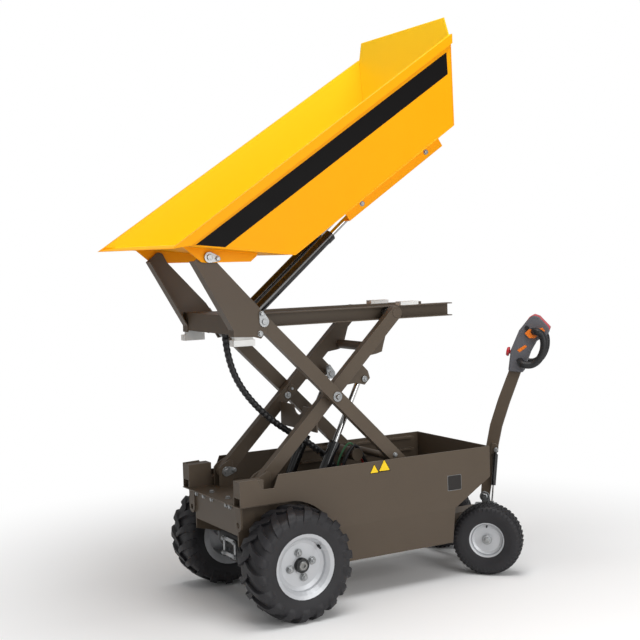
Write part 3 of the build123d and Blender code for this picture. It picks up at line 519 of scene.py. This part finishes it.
NODE_FINISH = (
    (CHASSIS, ("tub_side_left", "tub_side_right", "tub_floor", "front_deck", "frame_cheeks",
               "front_channels", "rear_axle", "hydraulic_pack", "tiller_tube", "inner_arms",
               "outer_arms", "top_rails", "top_brackets")),
    (DARK_PAINT, ("drive_axle",)),
    (SKIP, ("skip_floor", "skip_side_left", "skip_side_right", "skip_back", "skip_brackets")),
    (ZINC, ("steering_column", "rear_knuckle_left", "rear_knuckle_right", "track_rod")),
    (SILVER, ("front_rim_left", "front_rim_right", "rear_rim_left", "rear_rim_right")),
    (TYRE, ("front_tyre_left", "front_tyre_right", "rear_tyre_left", "rear_tyre_right")),
    (HEAD_GREY, ("tiller_head",)), (PLASTIC, ("tiller_loops",)), (RED, ("tiller_controls",)),
    (BARREL, ("lift_barrels", "tip_barrels", "gas_spring_barrel")),
    (CHROME, ("lift_rods", "tip_rods", "gas_spring_rod")),
    (STEEL, ("inner_rollers", "outer_rollers")), (NYLON, ("rest_pads",)),
    (BATTERY, ("battery_pack",)), (HOSE, ("lift_hose",)),
)


# ------------------------------------------------------------------ pieces

@dataclass
class Draft:
    """A piece being put together from patches of one finish.

    Args:
        name: name of the piece.
        body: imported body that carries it.
        finish: its finish.
        bevel: width in millimetres of its rounded edges, or 0.
        patches: what it is made of.
    """

    name: str
    body: str
    finish: Finish
    bevel: float = 0.0
    patches: list = field(default_factory=list)

    def add(self, *patches, place: Place = None, both: bool = False) -> "Draft":
        """Adds patches or lists of them, carried by place, and their mirror images if both."""
        for patch in patches:
            for one in patch if isinstance(patch, list) else [patch]:
                one = one.placed(place) if place else one
                self.patches += one.both() if both else [one]
        return self

    def finish_piece(self, replaces=(), smooth: float = 35.0) -> bpy.types.Object:
        """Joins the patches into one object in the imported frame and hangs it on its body."""
        starts = np.cumsum([0] + [len(p.points) for p in self.patches])
        points = np.vstack([p.points for p in self.patches]) + (AXLE_X, 0, 0)
        faces = [row for start, p in zip(starts, self.patches) for array in p.faces
                 for row in (array + start).tolist()]
        mesh = bpy.data.meshes.new(self.name)
        mesh.from_pydata((points * MM).tolist(), [], faces)
        work = bmesh.new()
        work.from_mesh(mesh)
        bmesh.ops.remove_doubles(work, verts=work.verts, dist=1e-6)
        bmesh.ops.recalc_face_normals(work, faces=work.faces)
        work.to_mesh(mesh)
        work.free()
        mesh.shade_smooth()
        mesh.set_sharp_from_angle(angle=radians(smooth))
        made = bpy.data.objects.new(self.name, mesh)
        bpy.context.scene.collection.objects.link(made)
        mesh.materials.append(self.finish.build())
        if self.bevel:
            edge = made.modifiers.new("edges", "BEVEL")
            edge.width, edge.segments, edge.limit_method = self.bevel * MM, 2, "ANGLE"
            edge.angle_limit, edge.harden_normals = radians(40), True
        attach(made, self.body)
        if replaces:
            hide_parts(*replaces)
        log.info("%s: %d faces", self.name, len(mesh.polygons))
        return made


def steered() -> Place:
    """The frame of the steering column, turned as it stands."""
    return Place.turned(STEER_REST, "Z", (STEER_X, 0, 0)) @ Place.at((STEER_X, 0, 0))


class Side(Enum):
    """Left or right of the machine, as the sign of Y."""

    LEFT = 1
    RIGHT = -1


@dataclass
class Tyre:
    """A tyre's carcass and the blocks of its tread, turned about Z.

    Args:
        carcass: (radius, height) from one bead over the crown to the middle.
        stations: along one block from the middle to the sidewall, each (arc, half width low,
            half width high, radius low, height low, radius high, height high).
        count: blocks round one side.
        shift: share of a pitch by which the other side's blocks are turned.
    """

    carcass: tuple
    stations: tuple
    count: int
    shift: float = 0.5

    def block_at(self, turn: float, flip: int) -> Patch:
        """One block: four corners at each station, laid round the axle by their arc."""
        s = np.array(self.stations, float)
        arc, low, high, r0, h0, r1, h1 = s.T
        radius = np.stack([r0, r1, r1, r0], 1)
        height = np.stack([h0, h1, h1, h0], 1) * flip
        swing = np.stack([arc - low, arc - high, arc + high, arc + low], 1) / radius + turn
        return grid(np.stack([radius * np.cos(swing), radius * np.sin(swing), height], -1), capped=True)

    def patches(self) -> list:
        """Carcass and all its blocks."""
        half = [(r, -h) for r, h in self.carcass]
        profile = half + [(r, -h) for r, h in half[::-1]]
        steps = np.arange(self.count) * 2 * pi / self.count
        return ([lathe(profile, 96, closed=True)] + [self.block_at(t, 1) for t in steps]
                + [self.block_at(t + self.shift * 2 * pi / self.count, -1) for t in steps])


@dataclass
class FrontWheels:
    """Driven wheels: chunky tread, four bolts round a dark hub, a shaft's end and a valve.

    Args:
        lugs: tread blocks round one side.
        bolt_circle: radius on which the wheel bolts stand.
        valve_circle: radius on which the valve stands.
        carcass: as in Tyre.
        stations: as in Tyre.
    """

    lugs: int = 18
    bolt_circle: float = 46.0
    valve_circle: float = 92.0
    carcass: tuple = ((110, 65), (118, 72), (126, 73), (138, 77), (150, 78.5), (163, 79), (172, 78),
                      (181, 73), (187, 64), (189.5, 48), (190.5, 24), (190.5, 6))
    stations: tuple = (
        (-26, 9, 8, 187, -12, 201, -12), (-14, 12, 10.5, 187, 6, 202.5, 6),
        (0, 13, 11.5, 187, 30, 203, 31), (9, 15, 12.5, 186, 50, 202, 54),
        (16, 18, 14.5, 180, 66, 196, 70), (20, 19, 15.5, 170, 72, 184, 79.5),
        (22, 18, 14, 158, 76, 168, 82), (23, 14, 10, 148, 76, 152, 79.5))

    def build(self) -> None:
        """Tyres, bolts, hubs and valves on both sides."""
        tyre = Tyre(self.carcass, self.stations, self.lugs)
        for side in Side:
            name = side.name.lower()
            place = Place.at((0, FRONT_Y * side.value, FRONT_Z), z=(0, side.value, 0))
            body = "front_wheel_" + name
            Draft("front_tyre_tread_" + name, body, TYRE).add(tyre.patches(), place=place).finish_piece(
                ["front_tyre_" + name])
            self.fittings(name, body, place)

    def fittings(self, name: str, body: str, place: Place) -> None:
        """Wheel bolts, the hub's ring and shaft end, and the valve."""
        bolts = Draft("front_wheel_bolts_" + name, body, ZINC, 0.5)
        for turn in np.radians((12, 102, 192, 282)):
            at = (self.bolt_circle * cos(turn), self.bolt_circle * sin(turn), 36.0)
            seat = Place.at(at, x=(cos(turn), sin(turn), 0))
            bolts.add(bolt(14, 7), place=place @ seat)
        bolts.finish_piece()
        hub = Draft("front_hub_ring_" + name, body, DARK_PAINT, 0.4)
        ring = [(17.5, 50), (17.5, 54), (25, 54), (27, 50), (27, 36.5), (17.5, 36.5)]
        hub.add(lathe(ring, 40, closed=True), place=place)
        hub.finish_piece()
        shaft = Draft("front_shaft_end_" + name, body, STEEL, 0.3)
        shaft.add(lathe([(16.2, 41), (16.2, 57), (14, 59), (7.5, 59), (7.5, 53), (0, 53)], 40), place=place)
        shaft.finish_piece()
        valve = Draft("front_valve_" + name, body, PLASTIC)
        turn = radians(222)
        at = (self.valve_circle * cos(turn), self.valve_circle * sin(turn), 45.0)
        seat = Place.at(at, z=(-0.3 * cos(turn), -0.3 * sin(turn), 1))
        stem = lathe([(0, 0), (6, 0), (5.5, 8), (4, 12), (4, 24), (0, 24)], 20)
        valve.add(stem, place=place @ seat).finish_piece()


@dataclass
class RearWheels:
    """Steered wheels: fine block tread, a zinc nut at the hub and a valve.

    Args:
        blocks: tread blocks round one side.
        hub_face: height of the rim's hub over the wheel's middle plane.
        carcass: as in Tyre.
        rows: stations, as in Tyre, of each row of blocks from the middle to the sidewall.
    """

    blocks: int = 46
    hub_face: float = 27.0
    carcass: tuple = ((70, 37), (78, 41), (84, 41), (92, 44.5), (104, 46.5), (116, 46.5), (126, 44),
                      (133, 38), (136.5, 30), (138.2, 15), (138.2, 5))
    rows: tuple = (((-1.5, 3.4, 3.0, 136, 1.5, 141, 1.5), (1.5, 3.4, 3.0, 136, 11, 141, 11)),
                   ((4.5, 3.4, 3.0, 136, 14, 141.6, 14), (1.5, 3.4, 3.0, 136, 24, 141, 24)),
                   ((-1.5, 3.4, 2.8, 134, 27, 140.2, 28), (-4, 3.8, 3.0, 131, 37, 136.5, 39.5)),
                   ((3.5, 3.6, 2.8, 127, 41, 131.5, 44.5), (1, 3.6, 2.6, 114, 44, 118, 47.2)))

    def build(self) -> None:
        """Tyres and hub fittings on both sides."""
        for side in Side:
            name = side.name.lower()
            heading = Place.turned(STEER_REST, "Z", (KINGPIN[0], side.value * KINGPIN[1], 0))
            centre = (KINGPIN[0], side.value * (KINGPIN[1] + STUB_REACH), REAR_Z)
            place = heading @ Place.at(centre, z=(0, side.value, 0))
            body = "rear_wheel_" + name
            tread = Draft("rear_tyre_tread_" + name, body, TYRE)
            for number, row in enumerate(self.rows):
                patches = Tyre(self.carcass, row, self.blocks).patches()
                tread.add(patches if number == 0 else patches[1:], place=place)
            tread.finish_piece(["rear_tyre_" + name])
            nut = Draft("rear_axle_nut_" + name, body, ZINC, 0.4)
            nut.add(bolt(15, 4), drum(20, -2, 1.5), place=place @ Place.at((0, 0, self.hub_face)))
            nut.finish_piece()
            valve = Draft("rear_valve_" + name, body, PLASTIC)
            seat = Place.at((0, -56, 14.0), z=(0, 0.25, 1))
            valve.add(drum(3, 0, 20, 0.6, 16), place=place @ seat).finish_piece()


@dataclass
class Pivots:
    """Keeper plates, bolts and washers at the pins of lift and skip.

    Args:
        eye_inner: where the lift rods' own pins end, towards the middle.
        eye_outer: where the stubs on the eye plates end, away from it.
        inner_plane: the inner arms' faces towards the middle.
        arm_bolts: shares of the outer arm's length at which bolts stand near its foot.
    """

    eye_inner: float = 101.0
    eye_outer: float = 151.5
    inner_plane: float = 140.5
    arm_bolts: tuple = (0.915, 0.955)

    def keeper(self, draft: Draft, at, face: float, lean: float) -> None:
        """Pear-shaped keeper plate on both sides, its tail leaning by degrees from forward."""
        turn = radians(lean)
        place = Place.at((at[0], face, at[1]), z=(0, 1, 0), x=(cos(turn), 0, sin(turn)))
        plate = prism(pear(19, 10, 31), 0, 4)
        draft.add(plate, drum(10, 3, 9), both=True, place=place)
        draft.add(bolt(9), both=True, place=place @ Place.at((31, 0, 4)))

    def washer(self, draft: Draft, at, face: float, radius: float) -> None:
        """Round washer with a bolt on both sides of the machine."""
        place = Place.at((at[0], face, at[1]), z=(0, 1, 0))
        draft.add(drum(radius, 0, 4, 1.0), both=True, place=place)
        draft.add(bolt(radius * 0.5), both=True, place=place @ Place.at((0, 0, 4)))

    def build(self) -> None:
        """All pins' plates, body by body."""
        chassis = Draft("low_pivot_plates", "chassis", ZINC, 0.5)
        self.keeper(chassis, LOW, -129.0, 175)
        chassis.finish_piece()
        arms = Draft("centre_pivot_plates", "outer_arms", ZINC, 0.5)
        self.washer(arms, MIDDLE, OUTER_FACE, 19)
        for share in self.arm_bolts:
            at = [high + (low - high) * share for high, low in zip(HIGH, REAR_LOW)]
            arms.add(bolt(9), both=True, place=Place.at((at[0], OUTER_FACE, at[1]), z=(0, 1, 0)))
        arms.finish_piece()
        rods = Draft("eye_pivot_plates", "lift_piston", ZINC, 0.5)
        self.keeper(rods, LIFT_EYE, -self.eye_inner, 70)
        rods.finish_piece()
        inner = Draft("eye_pivot_washers", "inner_arms", ZINC, 0.5)
        self.washer(inner, LIFT_EYE, self.eye_outer, 12)
        self.washer(inner, MIDDLE, -self.inner_plane, 14)
        self.washer(inner, BRIDGE_END, -self.inner_plane, 14)
        inner.finish_piece()
        ends = Draft("upper_arm_ends", "inner_arms", CHASSIS, 0.8)
        ends.add(drum(17, 0, 2.5), both=True,
                 place=Place.at((REAR_HIGH[0], INNER_FACE, REAR_HIGH[1]), z=(0, 1, 0)))
        ends.finish_piece()
        top = Draft("high_pivot_plates", "top_frame", ZINC, 0.5)
        self.keeper(top, HIGH, BRACKET_FACE, 72)
        self.keeper(top, HINGE, BRACKET_FACE + 13, 190)
        top.add(bolt(10), both=True, place=Place.at((74, BRACKET_FACE, 1024), z=(0, 1, 0)))
        top.finish_piece()


@dataclass
class Skip:
    """Stripes, seams and bolts of the skip, drawn in its level frame."""

    stripe: tuple = ((-29, 20), (58, 90), (-1219, 84), (-1180, 13))

    def build(self) -> None:
        """Stripes on both sides, seam lines and runner bolts."""
        outline = np.array(self.stripe, float)
        u, w = outline.T
        rows = np.stack([np.column_stack([u, SkipForm.wall(u, w) + lift, w]) for lift in (-0.2, 0.45)])
        band = grid(rows, capped=True)
        Draft("skip_stripes", "skip", STRIPE).add(band, both=True, place=tipped()).finish_piece()
        seam = Draft("skip_seams", "skip", SKIP)
        for a, b in zip(SkipForm.LINE[1:], SkipForm.LINE[2:]):
            t = np.linspace(0, 1, 14)[:, None]
            line = np.array([a]) * (1 - t) + np.array([b]) * t
            y = SkipForm.wall(line[:, 0], line[:, 1]) + 0.2
            path = np.column_stack([line[:, 0], y, line[:, 1]])
            bead = tube(path, 2.0, 8)
            seam.add(bead, both=True, place=tipped())
        seam.finish_piece()
        bolts = Draft("runner_bolts", "skip", ZINC, 0.4)
        for along in (-960, -610):
            bolts.add(bolt(9), both=True, place=tipped() @ Place.at((along, 262, -188), z=(0, 1, 0)))
        bolts.finish_piece()


@dataclass
class Tub:
    """Labels, bolts and what shows inside the tub and under its front."""

    bolt_row: tuple = (-165, -100, -30, 95, 128)
    battery_rears: tuple = (-733, -602)

    def build(self) -> None:
        """Every fixed detail of the chassis."""
        self.labels()
        self.bolts()
        self.inside()

    def labels(self) -> None:
        """Two blank triangles and a blank plate on the left wall."""
        for number, (x, z, size) in enumerate(((-375, 489, 1.5), (-420, 497, 2.0))):
            place = Place.at((x, SIDE_FACE, z), z=(0, 1, 0), x=(-1, 0, 0))
            triangle = np.array([(-14, -11), (14, -11), (0, 13)]) * size
            Draft(f"triangle_edge_{number}", "chassis", STRIPE).add(
                prism(round_polygon(triangle, 3), -0.1, 0.35), place=place).finish_piece()
            Draft(f"triangle_face_{number}", "chassis", YELLOW).add(
                prism(round_polygon(triangle * 0.86, 2.6), 0, 0.55), place=place).finish_piece()
        place = Place.at((-746, SIDE_FACE, 392), z=(0, 1, 0), x=(-1, 0, 0))
        frame_line = round_polygon([(-33, -30), (33, -30), (33, 30), (-33, 30)], 4)
        Draft("blank_plate_edge", "chassis", ZINC).add(
            prism(frame_line, -0.1, 0.5), place=place).finish_piece()
        Draft("blank_plate", "chassis", PLATE).add(
            prism(frame_line * 0.955, 0, 0.9), place=place).finish_piece()

    def bolts(self) -> None:
        """Bolt row under the deck's edge, bolts on deck and pads, and the drive's zinc bracket."""
        row = Draft("front_bolts", "chassis", ZINC, 0.4)
        for y in self.bolt_row:
            row.add(bolt(9), place=Place.at((168, y, 398), z=(1, 0, 0)))
        for x, y in ((20, 95), (20, -95), (150, 70), (150, -70)):
            row.add(bolt(10), place=Place.at((x, y, 416)))
        for z in (200, 260):
            row.add(bolt(12), both=True, place=Place.at((-190, 185, z), z=(0, 1, 0)))
        row.finish_piece()
        bracket = Draft("drive_bracket", "chassis", ZINC, 0.6)
        for y, z in (((-6, 8), (192, 262)), ((84, 98), (192, 262)),
                     ((8, 84), (192, 206)), ((8, 84), (248, 262))):
            bracket.add(block((134, 140), y, z))
        for y in (1, 91):
            for z in (200, 254):
                bracket.add(bolt(9, 3), place=Place.at((140, y, z), z=(1, 0, 0)))
        bracket.finish_piece()

    def inside(self) -> None:
        """Batteries with lids, handles and plugs, and the wires to the hydraulic pack."""
        cases = Draft("battery_cases", "chassis", BATTERY, 3.0)
        for x0 in self.battery_rears:
            for y in ((-188, -2), (2, 188)):
                cases.add(block((x0, x0 + 128), y, (155, 398)))
        cases.finish_piece(["battery_pack"])
        lids = Draft("battery_lids", "chassis", PLASTIC, 2.0)
        grips = Draft("battery_grips", "chassis", PLASTIC)
        for x0 in self.battery_rears:
            lids.add(block((x0 + 6, x0 + 122), (8, 182), (397, 406)), both=True)
            arch = ((30, 404), (44, 424), (96, 434), (148, 424), (160, 404))
            path = smooth_run([(x0 + 64, y, z) for y, z in arch])
            grips.add(tube(path, 6), both=True)
        lids.finish_piece()
        grips.finish_piece()
        plugs = Draft("battery_plugs", "chassis", BLUE, 1.5)
        plugs.add(block((-640, -600), (30, 62), (406, 432)),
                  block((-520, -484), (-60, -30), (406, 430))).finish_piece()
        wires = (("wire_green_run", WIRE_GREEN, 40, 520, 4), ("wire_red_run", WIRE_RED, 62, 502, 4),
                 ("wire_grey_run", PLASTIC, 76, 514, 7))
        for name, finish, y, top, radius in wires:
            path = smooth_run([(-480, y - 30, 420), (-452, y, top - 40), (-400, y, top + 38),
                               (-352, y - 4, top - 16), (-338, y - 20, 400), (-345, y - 40, 300)])
            Draft(name, "chassis", finish).add(tube(path, radius)).finish_piece()


@dataclass
class Tiller:
    """Control head and gas spring ends, drawn in the steered frame with r = -x.

    Args:
        head: (r, z) outline of the head.
        cap: outline of the red cap over its end.
        paddle: outline of one paddle.
        mark: outline of the raised mark on either side.
        loop: (r, z) points along one grip loop.
        half: half of the head's width.
        loop_y: how far each loop stands out from the middle.
    """

    head: tuple = ((133, 792), (145, 880), (181, 962), (225, 1016), (243, 1026), (265, 1018),
                   (307, 972), (299, 945), (251, 915), (225, 870), (195, 786))
    cap: tuple = ((212, 1000), (225, 1017), (243, 1027), (265, 1019), (308, 972), (303, 958),
                  (284, 972), (258, 998), (240, 1006), (226, 998))
    paddle: tuple = ((206, 950), (222, 966), (246, 964), (278, 972), (288, 958), (262, 946),
                     (248, 930), (224, 930))
    mark: tuple = ((172, 880), (206, 902), (214, 894), (182, 870))
    loop: tuple = ((196, 824), (232, 822), (262, 842), (281, 880), (284, 920), (274, 948), (256, 958))
    half: float = 34.0
    loop_y: float = 68.0

    @staticmethod
    def behind(points) -> list:
        """(r, z) points as (x, z) of the steered frame."""
        return [(-r, z) for r, z in points]

    def build(self) -> None:
        """Head, cap, paddles, loops, buttons and spring ends."""
        place = steered()
        head = Draft("tiller_head_shell", "tiller", HEAD_GREY, 7.0)
        head.add(slab(self.behind(self.head), -self.half, self.half), place=place)
        head.finish_piece(["tiller_head"])
        cap = Draft("tiller_belly_cap", "tiller", RED, 3.0)
        cap.add(slab(self.behind(self.cap), -30, 30), place=place).finish_piece()
        trim = Draft("tiller_trim", "tiller", ORANGE, 2.5)
        for outline, low, high in ((self.paddle, 34, 50), (self.paddle, -50, -34),
                                   (self.mark, 33, 34.8), (self.mark, -34.8, -33)):
            trim.add(slab(self.behind(outline), low, high), place=place)
        trim.finish_piece()
        loops = Draft("tiller_grips", "tiller", PLASTIC)
        for side in Side:
            y, inward = self.loop_y * side.value, self.half * side.value
            line = [(-184, inward, 834)] + [(-r, y, z) for r, z in self.loop] + [(-240, inward, 956)]
            loops.add(tube(smooth_run(line), 15, 20), place=place)
        loops.finish_piece(["tiller_loops"])
        push = Draft("tiller_button", "tiller", RED)
        push.add(lathe([(0, 0), (8, 0), (8, 12), (19, 14), (20, 19), (16, 25), (0, 27)], 32),
                 place=place @ Place.at((-150, 0, 868), z=(sin(radians(78)), 0, cos(radians(78)))))
        push.finish_piece(["tiller_controls"])
        collar = Draft("tiller_collar", "tiller", PLASTIC, 1.5)
        for side in Side:
            seat = Place.at((-214, self.half * side.value, 972), z=(0, side.value, 0))
            collar.add(drum(9, 0, 5), place=place @ seat)
        collar.finish_piece()
        ends = Draft("spring_crown", "gas_spring_upper", ZINC, 0.4)
        ends.add(bolt(9), place=place @ Place.at((-77, 35, 462), z=(0, 1, 0)))
        ends.finish_piece()
        boss = Draft("tiller_boss", "tiller", ZINC, 0.6)
        boss.add(drum(21, 0, 5), bolt(14), place=place @ Place.at((-25, 25, 262), z=(0, 1, 0)))
        boss.finish_piece()


@dataclass
class LiftHose:
    """Black hose in a ridged guard, from the top frame down into the tub.

    Args:
        route: control points, the ones that its solid follows.
        radius: outer radius over the guard.
        pitch: length of one ridge.
        rings: rings of corners along the guard.
    """

    route: tuple = ((132, 50, 1023.75), (126, 50, 930), (68, 50, 800), (-60, 50, 670), (-230, 50, 570),
                    (-330, 50, 470), (-372, 22, 385), (-385, 12, 303))
    radius: float = 13.0
    pitch: float = 20.0
    rings: int = 560

    def centre_line(self) -> np.ndarray:
        """Points along the smooth spline through the route, in millimetres."""
        curve = bpy.data.curves.new("hose_route", "CURVE")
        curve.dimensions, curve.resolution_u = "3D", 24
        spline = curve.splines.new("NURBS")
        spline.points.add(len(self.route) - 1)
        flat = np.column_stack([np.array(self.route, float), np.ones(len(self.route))])
        spline.points.foreach_set("co", flat.ravel())
        spline.order_u, spline.use_endpoint_u = 3, True
        holder = bpy.data.objects.new("hose_route", curve)
        mesh = bpy.data.meshes.new_from_object(holder)
        points = np.empty(len(mesh.vertices) * 3)
        mesh.vertices.foreach_get("co", points)
        bpy.data.objects.remove(holder)
        bpy.data.curves.remove(curve)
        return points.reshape(-1, 3)

    def build(self) -> None:
        """The guard's ridges are the tube's radius, waved along its length."""
        line = self.centre_line()
        reach = np.concatenate([[0], np.cumsum(np.linalg.norm(np.diff(line, axis=0), axis=1))])
        even = np.linspace(0, reach[-1], self.rings)
        path = np.column_stack([np.interp(even, reach, line[:, k]) for k in range(3)])
        ridges = self.radius - 0.9 + 0.8 * np.tanh(2.5 * np.sin(even * 2 * pi / self.pitch))
        guard = Draft("hose_guard", "chassis", HOSE).add(tube(path, ridges, 18))
        hose = guard.finish_piece(["lift_hose"], smooth=80)
        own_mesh(hose)


@dataclass
class Studio:
    """Pale floor, white surroundings, soft light and the camera.

    Args:
        eye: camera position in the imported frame, metres.
        azimuth: direction of view round Z, degrees.
        elevation: direction of view over the horizon, degrees.
        roll: roll of the camera, degrees.
        lens: focal length for a 36 mm sensor.
        reach: half of the floor's side, metres.
        fade: radii between which the floor turns white, metres.
        surround: strength of the surroundings as light, and as the camera sees them.
        boxes: each soft box's name, place, side and power.
        aim: height of the point that the soft boxes face, metres.
    """

    eye: tuple = (2.4174, 3.9401, 1.3088)
    azimuth: float = -120.0895
    elevation: float = -3.3126
    roll: float = -1.59
    lens: float = 66.1
    reach: float = 30.0
    fade: tuple = (0.9, 2.4)
    surround: tuple = (0.36, 1.0)
    boxes: tuple = (("top_box", (0.3, 0.6, 4.2), 3.0, 128.0), ("side_box", (-0.6, 4.2, 1.9), 2.4, 68.0),
                    ("front_box", (4.2, 0.8, 1.8), 1.8, 2.0))
    aim: float = 0.9

    def build(self) -> None:
        """Camera, floor, world and lights."""
        self.camera()
        self.floor()
        self.world()
        self.lights()
        view = bpy.context.scene.view_settings
        view.view_transform = "Standard"

    def camera(self) -> None:
        """Camera whose axes come from azimuth, elevation and roll."""
        a, e, turn = radians(self.azimuth), radians(self.elevation), radians(self.roll)
        ahead = np.array([cos(e) * cos(a), cos(e) * sin(a), sin(e)])
        right = np.array([sin(a), -cos(a), 0.0])
        up = np.cross(right, ahead)
        across = cos(turn) * right + sin(turn) * up
        over = -sin(turn) * right + cos(turn) * up
        data = bpy.data.cameras.new("camera")
        data.lens, data.sensor_width = self.lens, 36.0
        made = bpy.data.objects.new("camera", data)
        bpy.context.scene.collection.objects.link(made)
        matrix = np.eye(4)
        matrix[:3, 0], matrix[:3, 1], matrix[:3, 2], matrix[:3, 3] = across, over, -ahead, self.eye
        made.matrix_world = Matrix(matrix.tolist())
        bpy.context.scene.camera = made

    def floor(self) -> None:
        """Floor that fades, for the camera alone, into the white of the surroundings."""
        mesh = bpy.data.meshes.new("floor")
        square = ((-1, -1), (1, -1), (1, 1), (-1, 1))
        mesh.from_pydata([(x * self.reach, y * self.reach, 0) for x, y in square], [], [(0, 1, 2, 3)])
        made = bpy.data.objects.new("floor", mesh)
        bpy.context.scene.collection.objects.link(made)
        made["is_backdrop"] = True
        paper = bpy.data.materials.new("floor_white")
        paper.use_nodes = True
        tree = paper.node_tree
        shader = tree.nodes["Principled BSDF"]
        shader.inputs["Base Color"].default_value = (0.92, 0.92, 0.92, 1)
        shader.inputs["Roughness"].default_value = 0.9
        shader.inputs["Specular IOR Level"].default_value = 0.0
        glow = tree.nodes.new("ShaderNodeEmission")
        glow.inputs["Color"].default_value = (1, 1, 1, 1)
        length = tree.nodes.new("ShaderNodeVectorMath")
        length.operation = "LENGTH"
        tree.links.new(tree.nodes.new("ShaderNodeTexCoord").outputs["Object"], length.inputs[0])
        fade = tree.nodes.new("ShaderNodeMapRange")
        fade.interpolation_type = "SMOOTHSTEP"
        fade.inputs["From Min"].default_value, fade.inputs["From Max"].default_value = self.fade
        tree.links.new(length.outputs["Value"], fade.inputs["Value"])
        seen = tree.nodes.new("ShaderNodeMath")
        seen.operation = "MULTIPLY"
        tree.links.new(fade.outputs["Result"], seen.inputs[0])
        tree.links.new(tree.nodes.new("ShaderNodeLightPath").outputs["Is Camera Ray"], seen.inputs[1])
        mix = tree.nodes.new("ShaderNodeMixShader")
        tree.links.new(seen.outputs["Value"], mix.inputs["Fac"])
        tree.links.new(shader.outputs["BSDF"], mix.inputs[1])
        tree.links.new(glow.outputs["Emission"], mix.inputs[2])
        tree.links.new(mix.outputs["Shader"], tree.nodes["Material Output"].inputs["Surface"])
        mesh.materials.append(paper)

    def world(self) -> None:
        """White to the camera, softer white as light."""
        made = bpy.data.worlds.new("surroundings")
        bpy.context.scene.world = made
        made.use_nodes = True
        tree = made.node_tree
        ground = tree.nodes["Background"]
        ground.inputs["Color"].default_value = (1, 1, 1, 1)
        seen = tree.nodes.new("ShaderNodeLightPath").outputs["Is Camera Ray"]
        strength = tree.nodes.new("ShaderNodeMapRange")
        strength.inputs["To Min"].default_value, strength.inputs["To Max"].default_value = self.surround
        tree.links.new(seen, strength.inputs["Value"])
        tree.links.new(strength.outputs["Result"], ground.inputs["Strength"])

    def lights(self) -> None:
        """Soft boxes: one over the machine, one from the camera's side, a faint one in front."""
        for name, at, size, power in self.boxes:
            data = bpy.data.lights.new(name, "AREA")
            data.shape, data.size, data.energy = "SQUARE", size, power
            made = bpy.data.objects.new(name, data)
            bpy.context.scene.collection.objects.link(made)
            away = np.array(at) - (0, 0, self.aim)
            made.matrix_world = Matrix((Place.at(at, z=away).matrix).tolist())


def paint_nodes() -> None:
    """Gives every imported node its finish."""
    for finish, names in NODE_FINISH:
        for name in names:
            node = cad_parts[name]
            node.data.materials.clear()
            node.data.materials.append(finish.build())


def corners() -> list:
    """The shown object's box as plain lists."""
    return [list(c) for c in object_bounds()]


def main() -> None:
    """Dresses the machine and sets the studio."""
    logging.basicConfig(level=logging.INFO, format="%(name)s: %(message)s")
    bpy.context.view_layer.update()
    paint_nodes()
    Studio().build()
    for part in (LiftHose(), FrontWheels(), RearWheels(), Skip(), Tub(), Pivots(), Tiller()):
        log.info("dressing %s", type(part).__name__)
        part.build()


if __name__ == "__main__":
    main()
